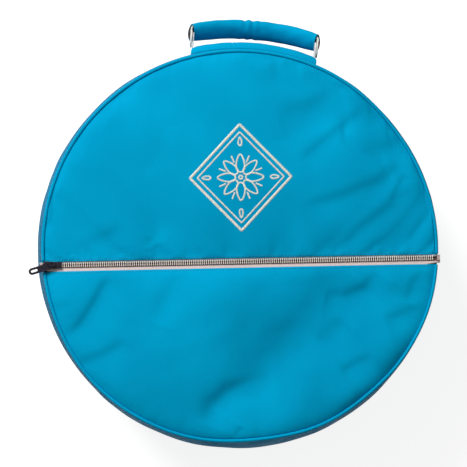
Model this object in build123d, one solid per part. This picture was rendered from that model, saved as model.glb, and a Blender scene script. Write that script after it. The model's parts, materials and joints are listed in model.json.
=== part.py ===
from build123d import *
import os
from math import asin, atan, cos, degrees, floor, pi, radians, sin, sqrt

# Round padded carrying case for a small handpan.  It lies on its back: the back panel is on Z = 0,
# the front panel with its pocket faces +Z, and the handle is near +Y.  All sizes are in millimetres.

# ---- overall shape of the case
CASE_DEPTH = 200.0        # back face to front face
BELLY_RADIUS = 240.0      # side wall at half depth, where it bulges most
WALL_BULGE = 15.0         # how far the belly stands out past the round front and back panels
PIPING_RADIUS = 2.0       # fabric-covered cord round each panel
PIPING_SIDES = 8          # flats round that cord
WALL_STEP = 50.0          # height of one straight stretch of the bulging wall; the middle one is upright

# ---- the padded sandwich
FABRIC = 1.2              # coated outer fabric
FOAM = 8.0                # padding of the back and of the side wall
FRONT_FOAM = 6.0          # padding behind the whole front
LINING = 0.8
LAYER_GAP = 0.2           # air between two layers of one sewn half
BODY_GAP = 0.4            # air between pieces that move against each other
BINDING_THICKNESS = 1.0   # tape that binds the raw seams inside
BINDING_WIDTH = 7.0

# ---- the main zip round the side, and the fabric hinge that it leaves at -Y
MAIN_ZIP_HEIGHT = 50.0
ZIP_BAND = 16.0           # bare height between the two side bands
HINGE_BEARING = -90.0     # degrees, counter-clockwise from +X
HINGE_ARC = 50.0          # degrees of side wall that no zip opens
END_TAB_ARC = 3.0         # degrees of the fabric tab over each end of the main zip

# ---- zip chain
TAPE = 0.8
TAPE_OVERLAP = 4.0        # tape sewn under the fabric
TOOTH_ROW = 2.2           # width of one row of teeth
TOOTH_HEIGHT = 2.0
TOOTH_PITCH = 2.48
TOOTH_LENGTH = 1.6
TOOTH_HEAD = 1.0          # narrowed end of a tooth, at the middle of the chain
ROW_GAP = 1.0             # slot between the rows, where a slider's wedge runs
STOP_LENGTH = 3.0

# ---- the pocket on the lower part of the front
POCKET_ZIP_OFFSET = 17.2  # how far the zip runs below the middle
POCKET_DEPTH = 7.0        # space behind the pocket panel
VISIBLE_TAPE = 4.4        # bare tape between the lower teeth and the pocket panel
CHAIN_OVERHANG = 6.0      # how far the chain runs past the panels' edge, over the rim
TAPE_END = 4.0            # tape beyond the last tooth, sticking out of the rim

# ---- slider and puller
SLIDER_LENGTH = 22.0
SLIDER_WIDTH = 10.0
SLIDER_TAIL_WIDTH = 7.2
SLIDER_PLATE = 1.2
SLIDER_EDGE = 0.8         # rounding of the outer plate's rim
SLIDER_FLANGE = 0.8
SLIDER_GAP = 0.3          # running clearance on the chain
CURVE_GAP = 0.6           # more of it on the curved main chain
WEDGE_THICKNESS = 0.4
WEDGE_LENGTH = 6.0
BAIL_LENGTH = 8.0
BAIL_WIDTH = 2.4
BAIL_BAR = 1.2            # thickness of the bail's arch
PIVOT_PIN = 1.8           # diameter of the puller's cross bar
PIVOT_PLAY = 0.4          # air round the cross bar inside the bail
PULLER_REACH = 28.5       # pivot to tip
MAIN_PULLER_REACH = 24.0
PULLER_WIDTH = 8.0
PULLER_ARM = 1.4
PULLER_THICKNESS = 1.6
PULLER_SKEW = 16.0        # degrees that the pocket puller lies askew
TIP_HOLE_LENGTH = 8.0
TIP_HOLE_WIDTH = 2.6
SLIDER_PARTING = 3.6      # degrees from the meeting point of the main sliders to each one's middle

# ---- carrying handle
HANDLE_BEARING = 84.2     # degrees, counter-clockwise from +X
HANDLE_HEIGHT = 118.0     # height of the patch's middle and of the handle's roots
PATCH_RISE = 8.5
PATCH_WIDTH = 52.0
PATCH_ARC = 36.6          # degrees
PATCH_BEVEL = 3.0
LEG_SPAN = 152.0          # between the middles of the two webbing legs
WEBBING = 1.8
WEBBING_WIDTH = 20.0
GRIP_REACH = 35.6         # pivot to the middle line of the grip, at its middle
GRIP_BOW = 19.2           # how much nearer to the pivot the two ends of that line are
GRIP_DROOP = 55.0         # degrees that the handle hangs below level at rest
GRIP_THICKNESS = 16.0
GRIP_WIDTH = 26.0
GRIP_SIDES = 12           # flats round the oval grip
GRIP_END_INSET = 3.0      # leg's middle to the sleeve's end
CORE_REVEAL = 1.6         # grip foam that shows past the sleeve

# ---- values that follow from those above
MID_HEIGHT = CASE_DEPTH / 2
PANEL_RADIUS = BELLY_RADIUS - WALL_BULGE
EDGE_RADIUS = PANEL_RADIUS + PIPING_RADIUS + LAYER_GAP
EDGE_SAGITTA = BELLY_RADIUS - EDGE_RADIUS
EDGE_RISE = MID_HEIGHT - PIPING_RADIUS
BARREL_ARC = (EDGE_RISE ** 2 + EDGE_SAGITTA ** 2) / (2 * EDGE_SAGITTA)
BARREL_CENTRE = BELLY_RADIUS - sqrt(BARREL_ARC ** 2 - (WALL_STEP / 2) ** 2)

BACK_FOAM_LOW = FABRIC + LAYER_GAP
BACK_FOAM_HIGH = BACK_FOAM_LOW + FOAM
BACK_LINING_HIGH = BACK_FOAM_HIGH + LAYER_GAP + LINING
PANEL_UNDERSIDE = CASE_DEPTH - FABRIC
POCKET_LINING_HIGH = PANEL_UNDERSIDE - POCKET_DEPTH
FRONT_FOAM_HIGH = POCKET_LINING_HIGH - LINING - LAYER_GAP
FRONT_FOAM_LOW = FRONT_FOAM_HIGH - FRONT_FOAM
FRONT_LINING_LOW = FRONT_FOAM_LOW - LAYER_GAP - LINING

BACK_BAND_EDGE = MAIN_ZIP_HEIGHT - ZIP_BAND / 2
FRONT_BAND_EDGE = MAIN_ZIP_HEIGHT + ZIP_BAND / 2
PADDING_SETBACK = TAPE_OVERLAP + LAYER_GAP
FOAM_DEPTH = FABRIC + LAYER_GAP
LINING_DEPTH = FOAM_DEPTH + FOAM + LAYER_GAP
BINDING_DEPTH = LINING_DEPTH + LINING + LAYER_GAP
TAPE_DEPTH = FABRIC + LAYER_GAP
ROW_HALF_GAP = ROW_GAP / 2
CHAIN_HALF_WIDTH = ROW_HALF_GAP + TOOTH_ROW
ZIP_START = HINGE_BEARING + HINGE_ARC / 2
ZIP_ARC = 360 - HINGE_ARC

ZIP_Y = -POCKET_ZIP_OFFSET
CHAIN_HALF_LENGTH = PANEL_RADIUS + CHAIN_OVERHANG
TAPE_TOP = PANEL_UNDERSIDE - LAYER_GAP
HEM_Y = ZIP_Y + CHAIN_HALF_WIDTH + SLIDER_GAP + SLIDER_FLANGE + BODY_GAP
POCKET_EDGE_Y = ZIP_Y - CHAIN_HALF_WIDTH - VISIBLE_TAPE
UPPER_TAPE_Y = HEM_Y + TAPE_OVERLAP
LOWER_TAPE_Y = POCKET_EDGE_Y - TAPE_OVERLAP
SLIDER_REST_X = -(CHAIN_HALF_LENGTH - SLIDER_LENGTH / 2 - LAYER_GAP)
RIM_NOTCH_HIGH = max(HEM_Y, ZIP_Y + SLIDER_WIDTH / 2) + BODY_GAP
RIM_NOTCH_LOW = POCKET_EDGE_Y - BODY_GAP

PATCH_OUTER = BELLY_RADIUS + PATCH_RISE
LEG_X = LEG_SPAN / 2
ROOT_RADIUS = WEBBING_WIDTH / 2
PIVOT_Y = sqrt(PATCH_OUTER ** 2 - (LEG_X - WEBBING) ** 2) + ROOT_RADIUS + BODY_GAP
GRIP_END_REACH = GRIP_REACH - GRIP_BOW
GRIP_ARC_RADIUS = (LEG_X ** 2 + GRIP_BOW ** 2) / (2 * GRIP_BOW)
GRIP_ARC_Y = GRIP_REACH - GRIP_ARC_RADIUS

BASE = (Align.CENTER, Align.CENTER, Align.MIN)


# ---------------------------------------------------------------- shared shapes

def wall_stretch(height):
    """The straight stretch of wall at a height: its low end, and the wall's radius at both ends."""
    low = MID_HEIGHT + (floor((height - MID_HEIGHT) / WALL_STEP + 0.5) - 0.5) * WALL_STEP
    radii = []
    for end in (low, low + WALL_STEP):
        radii.append(BARREL_CENTRE + sqrt(BARREL_ARC ** 2 - (end - MID_HEIGHT) ** 2))
    return low, radii[0], radii[1]


def wall_radius(height, depth=0.0):
    """Radius of the layer that lies depth inside the outer face of the side wall."""
    low, low_radius, high_radius = wall_stretch(height)
    share = (height - low) / WALL_STEP
    return low_radius + (high_radius - low_radius) * share - depth


def wall_lean(height):
    """Angle in radians that the wall leans outwards on its way up."""
    low, low_radius, high_radius = wall_stretch(height)
    return atan((high_radius - low_radius) / WALL_STEP)


def wall_heights(low, high):
    """The two ends of a piece of wall and the bends between them."""
    heights = [low]
    bend = wall_stretch(low)[0] + WALL_STEP
    while bend < high:
        heights.append(bend)
        bend += WALL_STEP
    return heights + [high]


def turned(points, start, sweep):
    """Solid of revolution about Z from (radius, height) points."""
    profile = make_face(Polyline(*points, close=True))
    return Rot(0, 0, start) * revolve(Plane.XZ * profile, Axis.Z, sweep)


def wall_band(depth, thickness, low, high, start=0.0, sweep=360.0):
    """Part of the bulging side wall: one layer, from one height to another."""
    heights = wall_heights(low, high)
    outer = [(wall_radius(z, depth), z) for z in heights]
    inner = [(wall_radius(z, depth + thickness), z) for z in reversed(heights)]
    return turned(outer + inner, start, sweep)


def disc(radius, low, high):
    return Pos(0, 0, low) * Cylinder(radius, high - low, align=BASE)


def slab(low_corner, high_corner):
    """A box between two corners."""
    size = [b - a for a, b in zip(low_corner, high_corner)]
    middle = [(a + b) / 2 for a, b in zip(low_corner, high_corner)]
    return Pos(*middle) * Box(*size)


def above_line(shape, y):
    return shape & slab((-BELLY_RADIUS, y, 0), (BELLY_RADIUS, BELLY_RADIUS, 2 * CASE_DEPTH))


def below_line(shape, y):
    return shape & slab((-BELLY_RADIUS, -BELLY_RADIUS, 0), (BELLY_RADIUS, y, 2 * CASE_DEPTH))


def piping(height):
    ring = Plane.XZ * Pos(EDGE_RADIUS, height) * RegularPolygon(PIPING_RADIUS, PIPING_SIDES)
    return revolve(ring, Axis.Z, 360)


# ---------------------------------------------------------------- the two padded halves

def back_half():
    """Back panel, back side band and their padding and lining."""
    wall_top = BACK_BAND_EDGE - PADDING_SETBACK
    wall_low = BACK_LINING_HIGH + LAYER_GAP
    lining_radius = wall_radius(BACK_LINING_HIGH, LINING_DEPTH) - LAYER_GAP
    return {
        "back_panel": disc(PANEL_RADIUS, 0, FABRIC),
        "back_foam": disc(PANEL_RADIUS - LAYER_GAP, BACK_FOAM_LOW, BACK_FOAM_HIGH),
        "back_lining": disc(lining_radius, BACK_FOAM_HIGH + LAYER_GAP, BACK_LINING_HIGH),
        "back_piping": piping(PIPING_RADIUS),
        "back_side_band": wall_band(0, FABRIC, 2 * PIPING_RADIUS + LAYER_GAP, BACK_BAND_EDGE),
        "back_side_foam": wall_band(FOAM_DEPTH, FOAM, wall_low, wall_top),
        "back_side_lining": wall_band(LINING_DEPTH, LINING, wall_low, BACK_BAND_EDGE),
        "back_seam_binding": wall_band(BINDING_DEPTH, BINDING_THICKNESS, wall_low,
                                       wall_low + BINDING_WIDTH),
    }


def front_half():
    """Front panel, pocket, front side band and their padding and lining: the lid of the case."""
    wall_low = FRONT_BAND_EDGE + PADDING_SETBACK
    wall_top = FRONT_LINING_LOW - LAYER_GAP
    lining_radius = wall_radius(FRONT_LINING_LOW, LINING_DEPTH) - LAYER_GAP
    panel = disc(PANEL_RADIUS, PANEL_UNDERSIDE, CASE_DEPTH)
    pad = disc(PANEL_RADIUS - LAYER_GAP, FRONT_FOAM_HIGH + LAYER_GAP, PANEL_UNDERSIDE - LAYER_GAP)
    pocket_floor = disc(PANEL_RADIUS - LAYER_GAP, POCKET_LINING_HIGH - LINING, POCKET_LINING_HIGH)
    notch = slab((-BELLY_RADIUS, RIM_NOTCH_LOW, MID_HEIGHT), (BELLY_RADIUS, RIM_NOTCH_HIGH, 2 * CASE_DEPTH))
    pad_edge = UPPER_TAPE_Y + LAYER_GAP
    return {
        "front_panel": above_line(panel, HEM_Y),
        "front_pad": above_line(pad, pad_edge),
        "pocket_panel": below_line(panel, POCKET_EDGE_Y),
        "pocket_lining": below_line(pocket_floor, pad_edge - LAYER_GAP),
        "front_foam": disc(PANEL_RADIUS - LAYER_GAP, FRONT_FOAM_LOW, FRONT_FOAM_HIGH),
        "front_lining": disc(lining_radius, FRONT_LINING_LOW, FRONT_FOAM_LOW - LAYER_GAP),
        "front_piping": piping(CASE_DEPTH - PIPING_RADIUS) - notch,
        "front_side_band": wall_band(0, FABRIC, FRONT_BAND_EDGE,
                                     CASE_DEPTH - 2 * PIPING_RADIUS - LAYER_GAP),
        "front_side_foam": wall_band(FOAM_DEPTH, FOAM, wall_low, wall_top),
        "front_side_lining": wall_band(LINING_DEPTH, LINING, FRONT_BAND_EDGE, wall_top),
        "front_seam_binding": wall_band(BINDING_DEPTH, BINDING_THICKNESS,
                                        wall_top - BINDING_WIDTH, wall_top),
    }


# ---------------------------------------------------------------- main zip and fabric hinge

def main_zip():
    """Both halves of the zip round the side, its end tabs, and the uncut strip that hinges the lid."""
    rows_low = MAIN_ZIP_HEIGHT - ROW_HALF_GAP
    rows_high = MAIN_ZIP_HEIGHT + ROW_HALF_GAP
    row_depth = TAPE_DEPTH - TOOTH_HEIGHT
    tape_back_low = BACK_BAND_EDGE - TAPE_OVERLAP
    tape_front_high = FRONT_BAND_EDGE + TAPE_OVERLAP
    strip_start = HINGE_BEARING - HINGE_ARC / 2 + END_TAB_ARC
    strip_arc = HINGE_ARC - 2 * END_TAB_ARC
    fold_low = MAIN_ZIP_HEIGHT - BODY_GAP / 2
    fold_high = MAIN_ZIP_HEIGHT + BODY_GAP / 2
    tabs = []
    for start in (ZIP_START - END_TAB_ARC + 0.1, ZIP_START + ZIP_ARC):
        tabs.append(wall_band(0, FABRIC, BACK_BAND_EDGE + LAYER_GAP, rows_low,
                              start, END_TAB_ARC - 0.1))
    return {
        "main_tape_back": wall_band(TAPE_DEPTH, TAPE, tape_back_low, rows_low, ZIP_START, ZIP_ARC),
        "main_tape_front": wall_band(TAPE_DEPTH, TAPE, rows_high, tape_front_high,
                                     ZIP_START, ZIP_ARC),
        "main_teeth_back": wall_band(row_depth, TOOTH_HEIGHT, rows_low - TOOTH_ROW, rows_low,
                                     ZIP_START, ZIP_ARC),
        "main_teeth_front": wall_band(row_depth, TOOTH_HEIGHT, rows_high, rows_high + TOOTH_ROW,
                                      ZIP_START, ZIP_ARC),
        "main_zip_end_tabs": Compound(tabs),
        "hinge_strip_back": wall_band(0, FABRIC, BACK_BAND_EDGE + LAYER_GAP, fold_low,
                                      strip_start, strip_arc),
        "hinge_strip_front": wall_band(0, FABRIC, fold_high, FRONT_BAND_EDGE - LAYER_GAP,
                                       strip_start, strip_arc),
    }


# ---------------------------------------------------------------- pocket zip

def tooth():
    """One tooth of the upper row: a foot on the tape that narrows to its head at the slot."""
    outline = Polyline((-TOOTH_LENGTH / 2, CHAIN_HALF_WIDTH), (-TOOTH_LENGTH / 2, CHAIN_HALF_WIDTH / 2),
                       (-TOOTH_HEAD / 2, ROW_HALF_GAP), (TOOTH_HEAD / 2, ROW_HALF_GAP),
                       (TOOTH_LENGTH / 2, CHAIN_HALF_WIDTH / 2), (TOOTH_LENGTH / 2, CHAIN_HALF_WIDTH),
                       close=True)
    return extrude(make_face(outline), TOOTH_HEIGHT)


def tooth_row(flip):
    """The teeth of one side.  The two rows are half a pitch out of step, as they mesh."""
    model = Rot(0, 0, 180) * tooth() if flip else tooth()
    shift = TOOTH_PITCH / 2 if flip else 0.0
    room = CHAIN_HALF_LENGTH - TOOTH_LENGTH / 2 - STOP_LENGTH / 2
    count = int((2 * room - shift) // TOOTH_PITCH)
    first = -count * TOOTH_PITCH / 2 + shift
    teeth = []
    for i in range(count):
        teeth.append(Pos(first + i * TOOTH_PITCH, ZIP_Y, TAPE_TOP) * model)
    return Compound(teeth)


def pocket_tape(inner_y, edge_y, sewn_y):
    """One side of the tape: bare from inner_y to edge_y over the rim, sewn in as far as sewn_y."""
    reach = CHAIN_HALF_LENGTH + TAPE_END
    sewn_reach = sqrt(PANEL_RADIUS ** 2 - sewn_y ** 2) - LAYER_GAP
    low = TAPE_TOP - TAPE
    bare = slab((-reach, min(inner_y, edge_y), low), (reach, max(inner_y, edge_y), TAPE_TOP))
    sewn = slab((-sewn_reach, min(edge_y, sewn_y), low), (sewn_reach, max(edge_y, sewn_y), TAPE_TOP))
    return bare + sewn


def pocket_zip():
    stops = []
    for side in (-1, 1):
        stop = Box(STOP_LENGTH, 2 * CHAIN_HALF_WIDTH, TOOTH_HEIGHT, align=BASE)
        stops.append(Pos(side * (CHAIN_HALF_LENGTH + STOP_LENGTH / 2 + LAYER_GAP), ZIP_Y, TAPE_TOP) * stop)
    return {
        "pocket_tape_upper": pocket_tape(ZIP_Y + ROW_HALF_GAP, HEM_Y, UPPER_TAPE_Y),
        "pocket_tape_lower": pocket_tape(ZIP_Y - ROW_HALF_GAP, POCKET_EDGE_Y, LOWER_TAPE_Y),
        "pocket_teeth_upper": tooth_row(False),
        "pocket_teeth_lower": tooth_row(True),
        "pocket_zip_stops": Compound(stops),
    }


# ---------------------------------------------------------------- slider and puller

def slider_plate(low, thickness):
    """Flat slider plate, wide at the nose (+X) and narrow at the tail."""
    half = SLIDER_LENGTH / 2
    nose = SLIDER_WIDTH / 2
    tail = SLIDER_TAIL_WIDTH / 2
    outline = Polyline((-half, -tail), (half - nose / 2, -nose), (half, -nose / 2),
                       (half, nose / 2), (half - nose / 2, nose), (-half, tail), close=True)
    return Pos(0, 0, low) * extrude(make_face(outline), thickness)


def bail_height():
    return PIVOT_PIN + 2 * PIVOT_PLAY + BAIL_BAR


def pivot_height(gap):
    """Middle of the puller's cross bar above the tape's face."""
    return TOOTH_HEIGHT + gap + SLIDER_PLATE + PIVOT_PLAY + PIVOT_PIN / 2


def slider(gap, lid_side):
    """Slider in its own frame: X along the chain, Z off the tape, Z = 0 on the tape's face.

    The main sliders leave out the inner plate and the flange on the lid's side, so the lid lifts off.
    """
    top_low = TOOTH_HEIGHT + gap
    under_high = -TAPE - gap
    top = slider_plate(top_low, SLIDER_PLATE)
    top = fillet(top.edges().group_by(Axis.Z)[-1], SLIDER_EDGE)
    under = slider_plate(under_high - SLIDER_PLATE, SLIDER_PLATE)
    flange_in = CHAIN_HALF_WIDTH + SLIDER_GAP
    flange_low = SLIDER_GAP
    room = slab((-SLIDER_LENGTH, flange_in, flange_low),
                (SLIDER_LENGTH, flange_in + SLIDER_FLANGE, top_low))
    room = room & slider_plate(0, top_low + SLIDER_PLATE)
    body = top + mirror(room, Plane.XZ)
    if lid_side:
        body = body + room + under
    else:
        body = body + (under & slab((-SLIDER_LENGTH, -SLIDER_WIDTH, -SLIDER_WIDTH),
                                    (SLIDER_LENGTH, WEDGE_THICKNESS / 2, 0)))
    nose = SLIDER_LENGTH / 2
    wedge = slab((nose - WEDGE_LENGTH, -WEDGE_THICKNESS / 2, under_high - SLIDER_PLATE),
                 (nose - 1, WEDGE_THICKNESS / 2, top_low + SLIDER_PLATE))
    arch = Pos(0, 0, top_low + SLIDER_PLATE) * Box(BAIL_LENGTH, BAIL_WIDTH, bail_height(), align=BASE)
    window = Box(BAIL_LENGTH - 2 * BAIL_BAR, 2 * BAIL_WIDTH, PIVOT_PIN + 2 * PIVOT_PLAY, align=BASE)
    arch = arch - Pos(0, 0, top_low + SLIDER_PLATE) * window
    top_edges = arch.edges().filter_by(Axis.Y).group_by(Axis.Z)[-1]
    arch = fillet(top_edges, BAIL_BAR * 0.9)
    return body + wedge + arch


def puller(reach):
    """Puller in its own frame: pivot at the origin, lying flat along +X."""
    half = PULLER_WIDTH / 2
    blade = Pos((reach - half) / 2, 0) * Rectangle(reach - half, PULLER_WIDTH)
    blade = blade + Pos(reach - half, 0) * Circle(half)
    eye_end = BAIL_LENGTH / 2 + PULLER_ARM
    eye = Pos((eye_end - PIVOT_PIN) / 2, 0) * Rectangle(eye_end + PIVOT_PIN, PULLER_WIDTH - 2 * PULLER_ARM)
    tip = Pos(reach - half - TIP_HOLE_LENGTH / 2 + TIP_HOLE_WIDTH / 2, 0)
    tip = tip * SlotOverall(TIP_HOLE_LENGTH, TIP_HOLE_WIDTH)
    plate = Pos(0, 0, -PULLER_THICKNESS / 2) * extrude(blade - eye - tip, PULLER_THICKNESS)
    pin = Rot(90, 0, 0) * Cylinder(PIVOT_PIN / 2, PULLER_WIDTH)
    return plate + pin


def pocket_slider():
    """The pocket's slider at its closed end, with its puller askew over the rim."""
    place = Pos(SLIDER_REST_X, ZIP_Y, TAPE_TOP)
    lie = Pos(0, 0, pivot_height(SLIDER_GAP)) * Rot(0, 0, 180 + PULLER_SKEW)
    return {
        "pocket_slider": place * Rot(0, 0, 180) * slider(SLIDER_GAP, True),
        "pocket_puller": place * lie * puller(PULLER_REACH),
    }


def on_main_chain(bearing):
    """Frame on the main tape's face: X along the chain, Y towards the lid, Z outwards."""
    lean = wall_lean(MAIN_ZIP_HEIGHT)
    plane = Plane(origin=(wall_radius(MAIN_ZIP_HEIGHT, TAPE_DEPTH), 0, MAIN_ZIP_HEIGHT),
                  x_dir=(0, 1, 0), z_dir=(cos(lean), 0, -sin(lean)))
    return Rot(0, 0, bearing) * plane.location


def main_sliders():
    """Two sliders that meet nose to nose at the top; each puller trails away from the other."""
    pieces = {}
    body = slider(CURVE_GAP, False)
    blade = Pos(0, 0, pivot_height(CURVE_GAP)) * puller(MAIN_PULLER_REACH)
    right = on_main_chain(90 - SLIDER_PARTING)
    left = on_main_chain(90 + SLIDER_PARTING)
    pieces["main_slider_right"] = right * body
    pieces["main_puller_right"] = right * Rot(0, 0, 180) * blade
    pieces["main_slider_left"] = left * mirror(body, Plane.YZ)
    pieces["main_puller_left"] = left * blade
    return pieces


# ---------------------------------------------------------------- handle

def beside_handle(shape):
    """Turn a piece that was drawn with the handle's middle on +Y to the handle's bearing."""
    return Rot(0, 0, HANDLE_BEARING - 90) * shape


def patch_block(shrink, rise, corner):
    """The patch's outline from the wall out to a rise, drawn in on all sides, with bevelled corners."""
    half = PATCH_WIDTH / 2 - shrink
    arc = PATCH_ARC - 2 * degrees(shrink / PATCH_OUTER)
    low = HANDLE_HEIGHT - half
    high = HANDLE_HEIGHT + half
    outer = BELLY_RADIUS + rise
    points = [(outer - corner, low), (outer, low + corner), (outer, high - corner), (outer - corner, high)]
    foot = [(wall_radius(z, -LAYER_GAP), z) for z in reversed(wall_heights(low, high))]
    return turned(points + foot, 90 - arc / 2, arc)


def handle_mount():
    """Padded patch on the side wall and the webbing that is sewn under it."""
    cover = patch_block(0, PATCH_RISE, PATCH_BEVEL) - patch_block(FABRIC, PATCH_RISE - FABRIC, PATCH_BEVEL)
    anchor_high = LAYER_GAP + WEBBING
    pad = patch_block(FABRIC + LAYER_GAP, PATCH_RISE - FABRIC - LAYER_GAP, PATCH_BEVEL)
    half = WEBBING_WIDTH / 2
    arc = 2 * degrees(asin((LEG_X - WEBBING) / BELLY_RADIUS))
    anchor = wall_band(-anchor_high, WEBBING, HANDLE_HEIGHT - half, HANDLE_HEIGHT + half,
                       90 - arc / 2, arc)
    bed = wall_band(-anchor_high - LAYER_GAP, WEBBING + 2 * LAYER_GAP, HANDLE_HEIGHT - half - LAYER_GAP,
                    HANDLE_HEIGHT + half + LAYER_GAP, 90 - arc / 2, arc)
    pad = pad - bed
    tab_radius = GRIP_END_REACH - GRIP_THICKNESS / 2 - BODY_GAP
    tab_half = min(tab_radius, half)
    tab_x = LEG_X - WEBBING - BODY_GAP
    root_y = sqrt((BELLY_RADIUS + LAYER_GAP) ** 2 - (tab_x - WEBBING / 2) ** 2)
    for side in (-1, 1):
        x = side * tab_x
        tab = slab((x - WEBBING / 2, root_y, HANDLE_HEIGHT - tab_half),
                   (x + WEBBING / 2, PIVOT_Y, HANDLE_HEIGHT + tab_half))
        round_end = Rot(0, 90, 0) * Cylinder(tab_half, WEBBING)
        tab = tab + Pos(x, PIVOT_Y, HANDLE_HEIGHT) * round_end
        slot = slab((x - WEBBING / 2 - LAYER_GAP, root_y - FOAM, HANDLE_HEIGHT - tab_half - LAYER_GAP),
                    (x + WEBBING / 2 + LAYER_GAP, PIVOT_Y, HANDLE_HEIGHT + tab_half + LAYER_GAP))
        anchor = anchor + tab
        cover = cover - slot
        pad = pad - slot
    return {
        "handle_patch": beside_handle(cover),
        "handle_patch_pad": beside_handle(pad),
        "handle_anchor_webbing": beside_handle(anchor),
    }


def grip_sweep(width, thickness, half_length):
    """Oval bar along the grip's arc, in the handle's own plane."""
    oval = []
    for i in range(GRIP_SIDES):
        turn = 2 * pi * (i + 0.5) / GRIP_SIDES
        oval.append((GRIP_ARC_RADIUS + thickness / 2 * cos(turn), width / 2 * sin(turn)))
    half_arc = degrees(asin(half_length / GRIP_ARC_RADIUS))
    return Pos(0, GRIP_ARC_Y, 0) * turned(oval, 90 - half_arc, 2 * half_arc)


def webbing_run(extra, half_length):
    """The flat webbing along the grip's arc; extra makes the slot for it."""
    band = Circle(GRIP_ARC_RADIUS + WEBBING / 2 + extra) - Circle(GRIP_ARC_RADIUS - WEBBING / 2 - extra)
    band = (Pos(0, GRIP_ARC_Y) * band) & (Pos(0, GRIP_REACH) * Rectangle(2 * half_length, LEG_SPAN))
    width = WEBBING_WIDTH + 2 * extra
    return Pos(0, 0, -width / 2) * extrude(band, width)


def handle():
    """Webbing bow with a padded grip, hanging back at rest."""
    drop = radians(GRIP_DROOP)
    plane = Plane(origin=(0, PIVOT_Y, HANDLE_HEIGHT), x_dir=(1, 0, 0), z_dir=(0, sin(drop), cos(drop)))
    sleeve_half = LEG_X - GRIP_END_INSET
    core_half = sleeve_half + CORE_REVEAL
    bow = webbing_run(0, LEG_X)
    for side in (-1, 1):
        leg = slab((side * LEG_X - WEBBING / 2, 0, -WEBBING_WIDTH / 2),
                   (side * LEG_X + WEBBING / 2, GRIP_END_REACH + WEBBING / 2, WEBBING_WIDTH / 2))
        root = Pos(side * LEG_X, 0, 0) * Rot(0, 90, 0) * Cylinder(ROOT_RADIUS, WEBBING)
        bow = bow + leg + root
    sleeve = grip_sweep(GRIP_WIDTH, GRIP_THICKNESS, sleeve_half)
    sleeve = sleeve - grip_sweep(GRIP_WIDTH - 2 * FABRIC, GRIP_THICKNESS - 2 * FABRIC, LEG_X)
    trim = 2 * (FABRIC + LAYER_GAP)
    core = grip_sweep(GRIP_WIDTH - trim, GRIP_THICKNESS - trim, core_half)
    core = core - webbing_run(LAYER_GAP, LEG_SPAN)
    return {
        "handle_webbing": beside_handle(plane.location * bow),
        "handle_grip_core": beside_handle(plane.location * core),
        "handle_grip_sleeve": beside_handle(plane.location * sleeve),
    }


# ---------------------------------------------------------------- all pieces

def main():
    os.makedirs("parts", exist_ok=True)
    pieces = {}
    for make in (back_half, front_half, main_zip, pocket_zip, pocket_slider, main_sliders,
                 handle_mount, handle):
        pieces.update(make())
    for name, shape in pieces.items():
        export_step(shape, f"parts/{name}.step")
    hinge_y = -wall_radius(MAIN_ZIP_HEIGHT)
    chain = on_main_chain(0)
    print("nodes", len(pieces))
    print("lid hinge line at y, z:", round(hinge_y, 3), MAIN_ZIP_HEIGHT)
    print("handle pivot, before its bearing:", round(PIVOT_Y, 3), HANDLE_HEIGHT)
    print("pocket slider pivot:", SLIDER_REST_X, ZIP_Y, round(TAPE_TOP + pivot_height(SLIDER_GAP), 3))
    print("main puller pivot at bearing 0:", (chain * Pos(0, 0, pivot_height(CURVE_GAP))).position)
    print("grip reach, middle and end:", round(GRIP_REACH, 2), round(GRIP_END_REACH, 2))


main()
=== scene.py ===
# %% [markdown]
# # A round padded carrying case
#
# This notebook dresses a round soft case: two padded halves that a zip round the side joins, a
# pocket over the lower part of the front, and a webbing handle with a padded grip.
# The CAD frame already holds every piece at its real size. Here each piece gets the surface that
# the sewn object has: pillowed panels, folds, seams, stitches, zip teeth and woven tape.

# %% Load the frame
import json
from math import asin, atan2, ceil, cos, degrees, exp, hypot, log, pi, radians, sin, sqrt

import bmesh
import bpy
from mathutils import Matrix, Vector, noise


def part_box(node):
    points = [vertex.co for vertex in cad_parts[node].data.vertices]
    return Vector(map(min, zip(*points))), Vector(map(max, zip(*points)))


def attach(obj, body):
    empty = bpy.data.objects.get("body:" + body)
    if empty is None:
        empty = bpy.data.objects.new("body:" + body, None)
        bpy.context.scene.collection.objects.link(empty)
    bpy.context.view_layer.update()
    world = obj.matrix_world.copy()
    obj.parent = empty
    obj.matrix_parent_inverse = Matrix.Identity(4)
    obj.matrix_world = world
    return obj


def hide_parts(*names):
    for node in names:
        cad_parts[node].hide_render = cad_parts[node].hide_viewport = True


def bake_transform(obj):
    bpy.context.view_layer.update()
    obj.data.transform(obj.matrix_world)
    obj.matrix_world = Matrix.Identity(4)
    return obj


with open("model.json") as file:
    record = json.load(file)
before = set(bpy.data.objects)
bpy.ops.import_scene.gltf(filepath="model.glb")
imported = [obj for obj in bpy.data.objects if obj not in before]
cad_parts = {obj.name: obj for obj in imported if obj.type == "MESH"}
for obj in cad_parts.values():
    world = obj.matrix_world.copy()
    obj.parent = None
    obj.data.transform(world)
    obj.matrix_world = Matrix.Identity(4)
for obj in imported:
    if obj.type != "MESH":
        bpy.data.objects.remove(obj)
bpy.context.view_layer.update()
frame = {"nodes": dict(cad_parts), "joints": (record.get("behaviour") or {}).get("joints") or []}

# %% [markdown]
# ## Sizes from the frame
#
# Every place below comes from the boxes of the CAD nodes, in metres. The side wall bulges like a
# barrel, so its radius at a height is one parabola through the belly and through the main zip.
# Reading them once here keeps the cloth and the hard parts together if a size changes.

# %% Sizes
MM = 0.001


def low(node, axis):
    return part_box(node)[0][axis]


def high(node, axis):
    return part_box(node)[1][axis]


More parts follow.
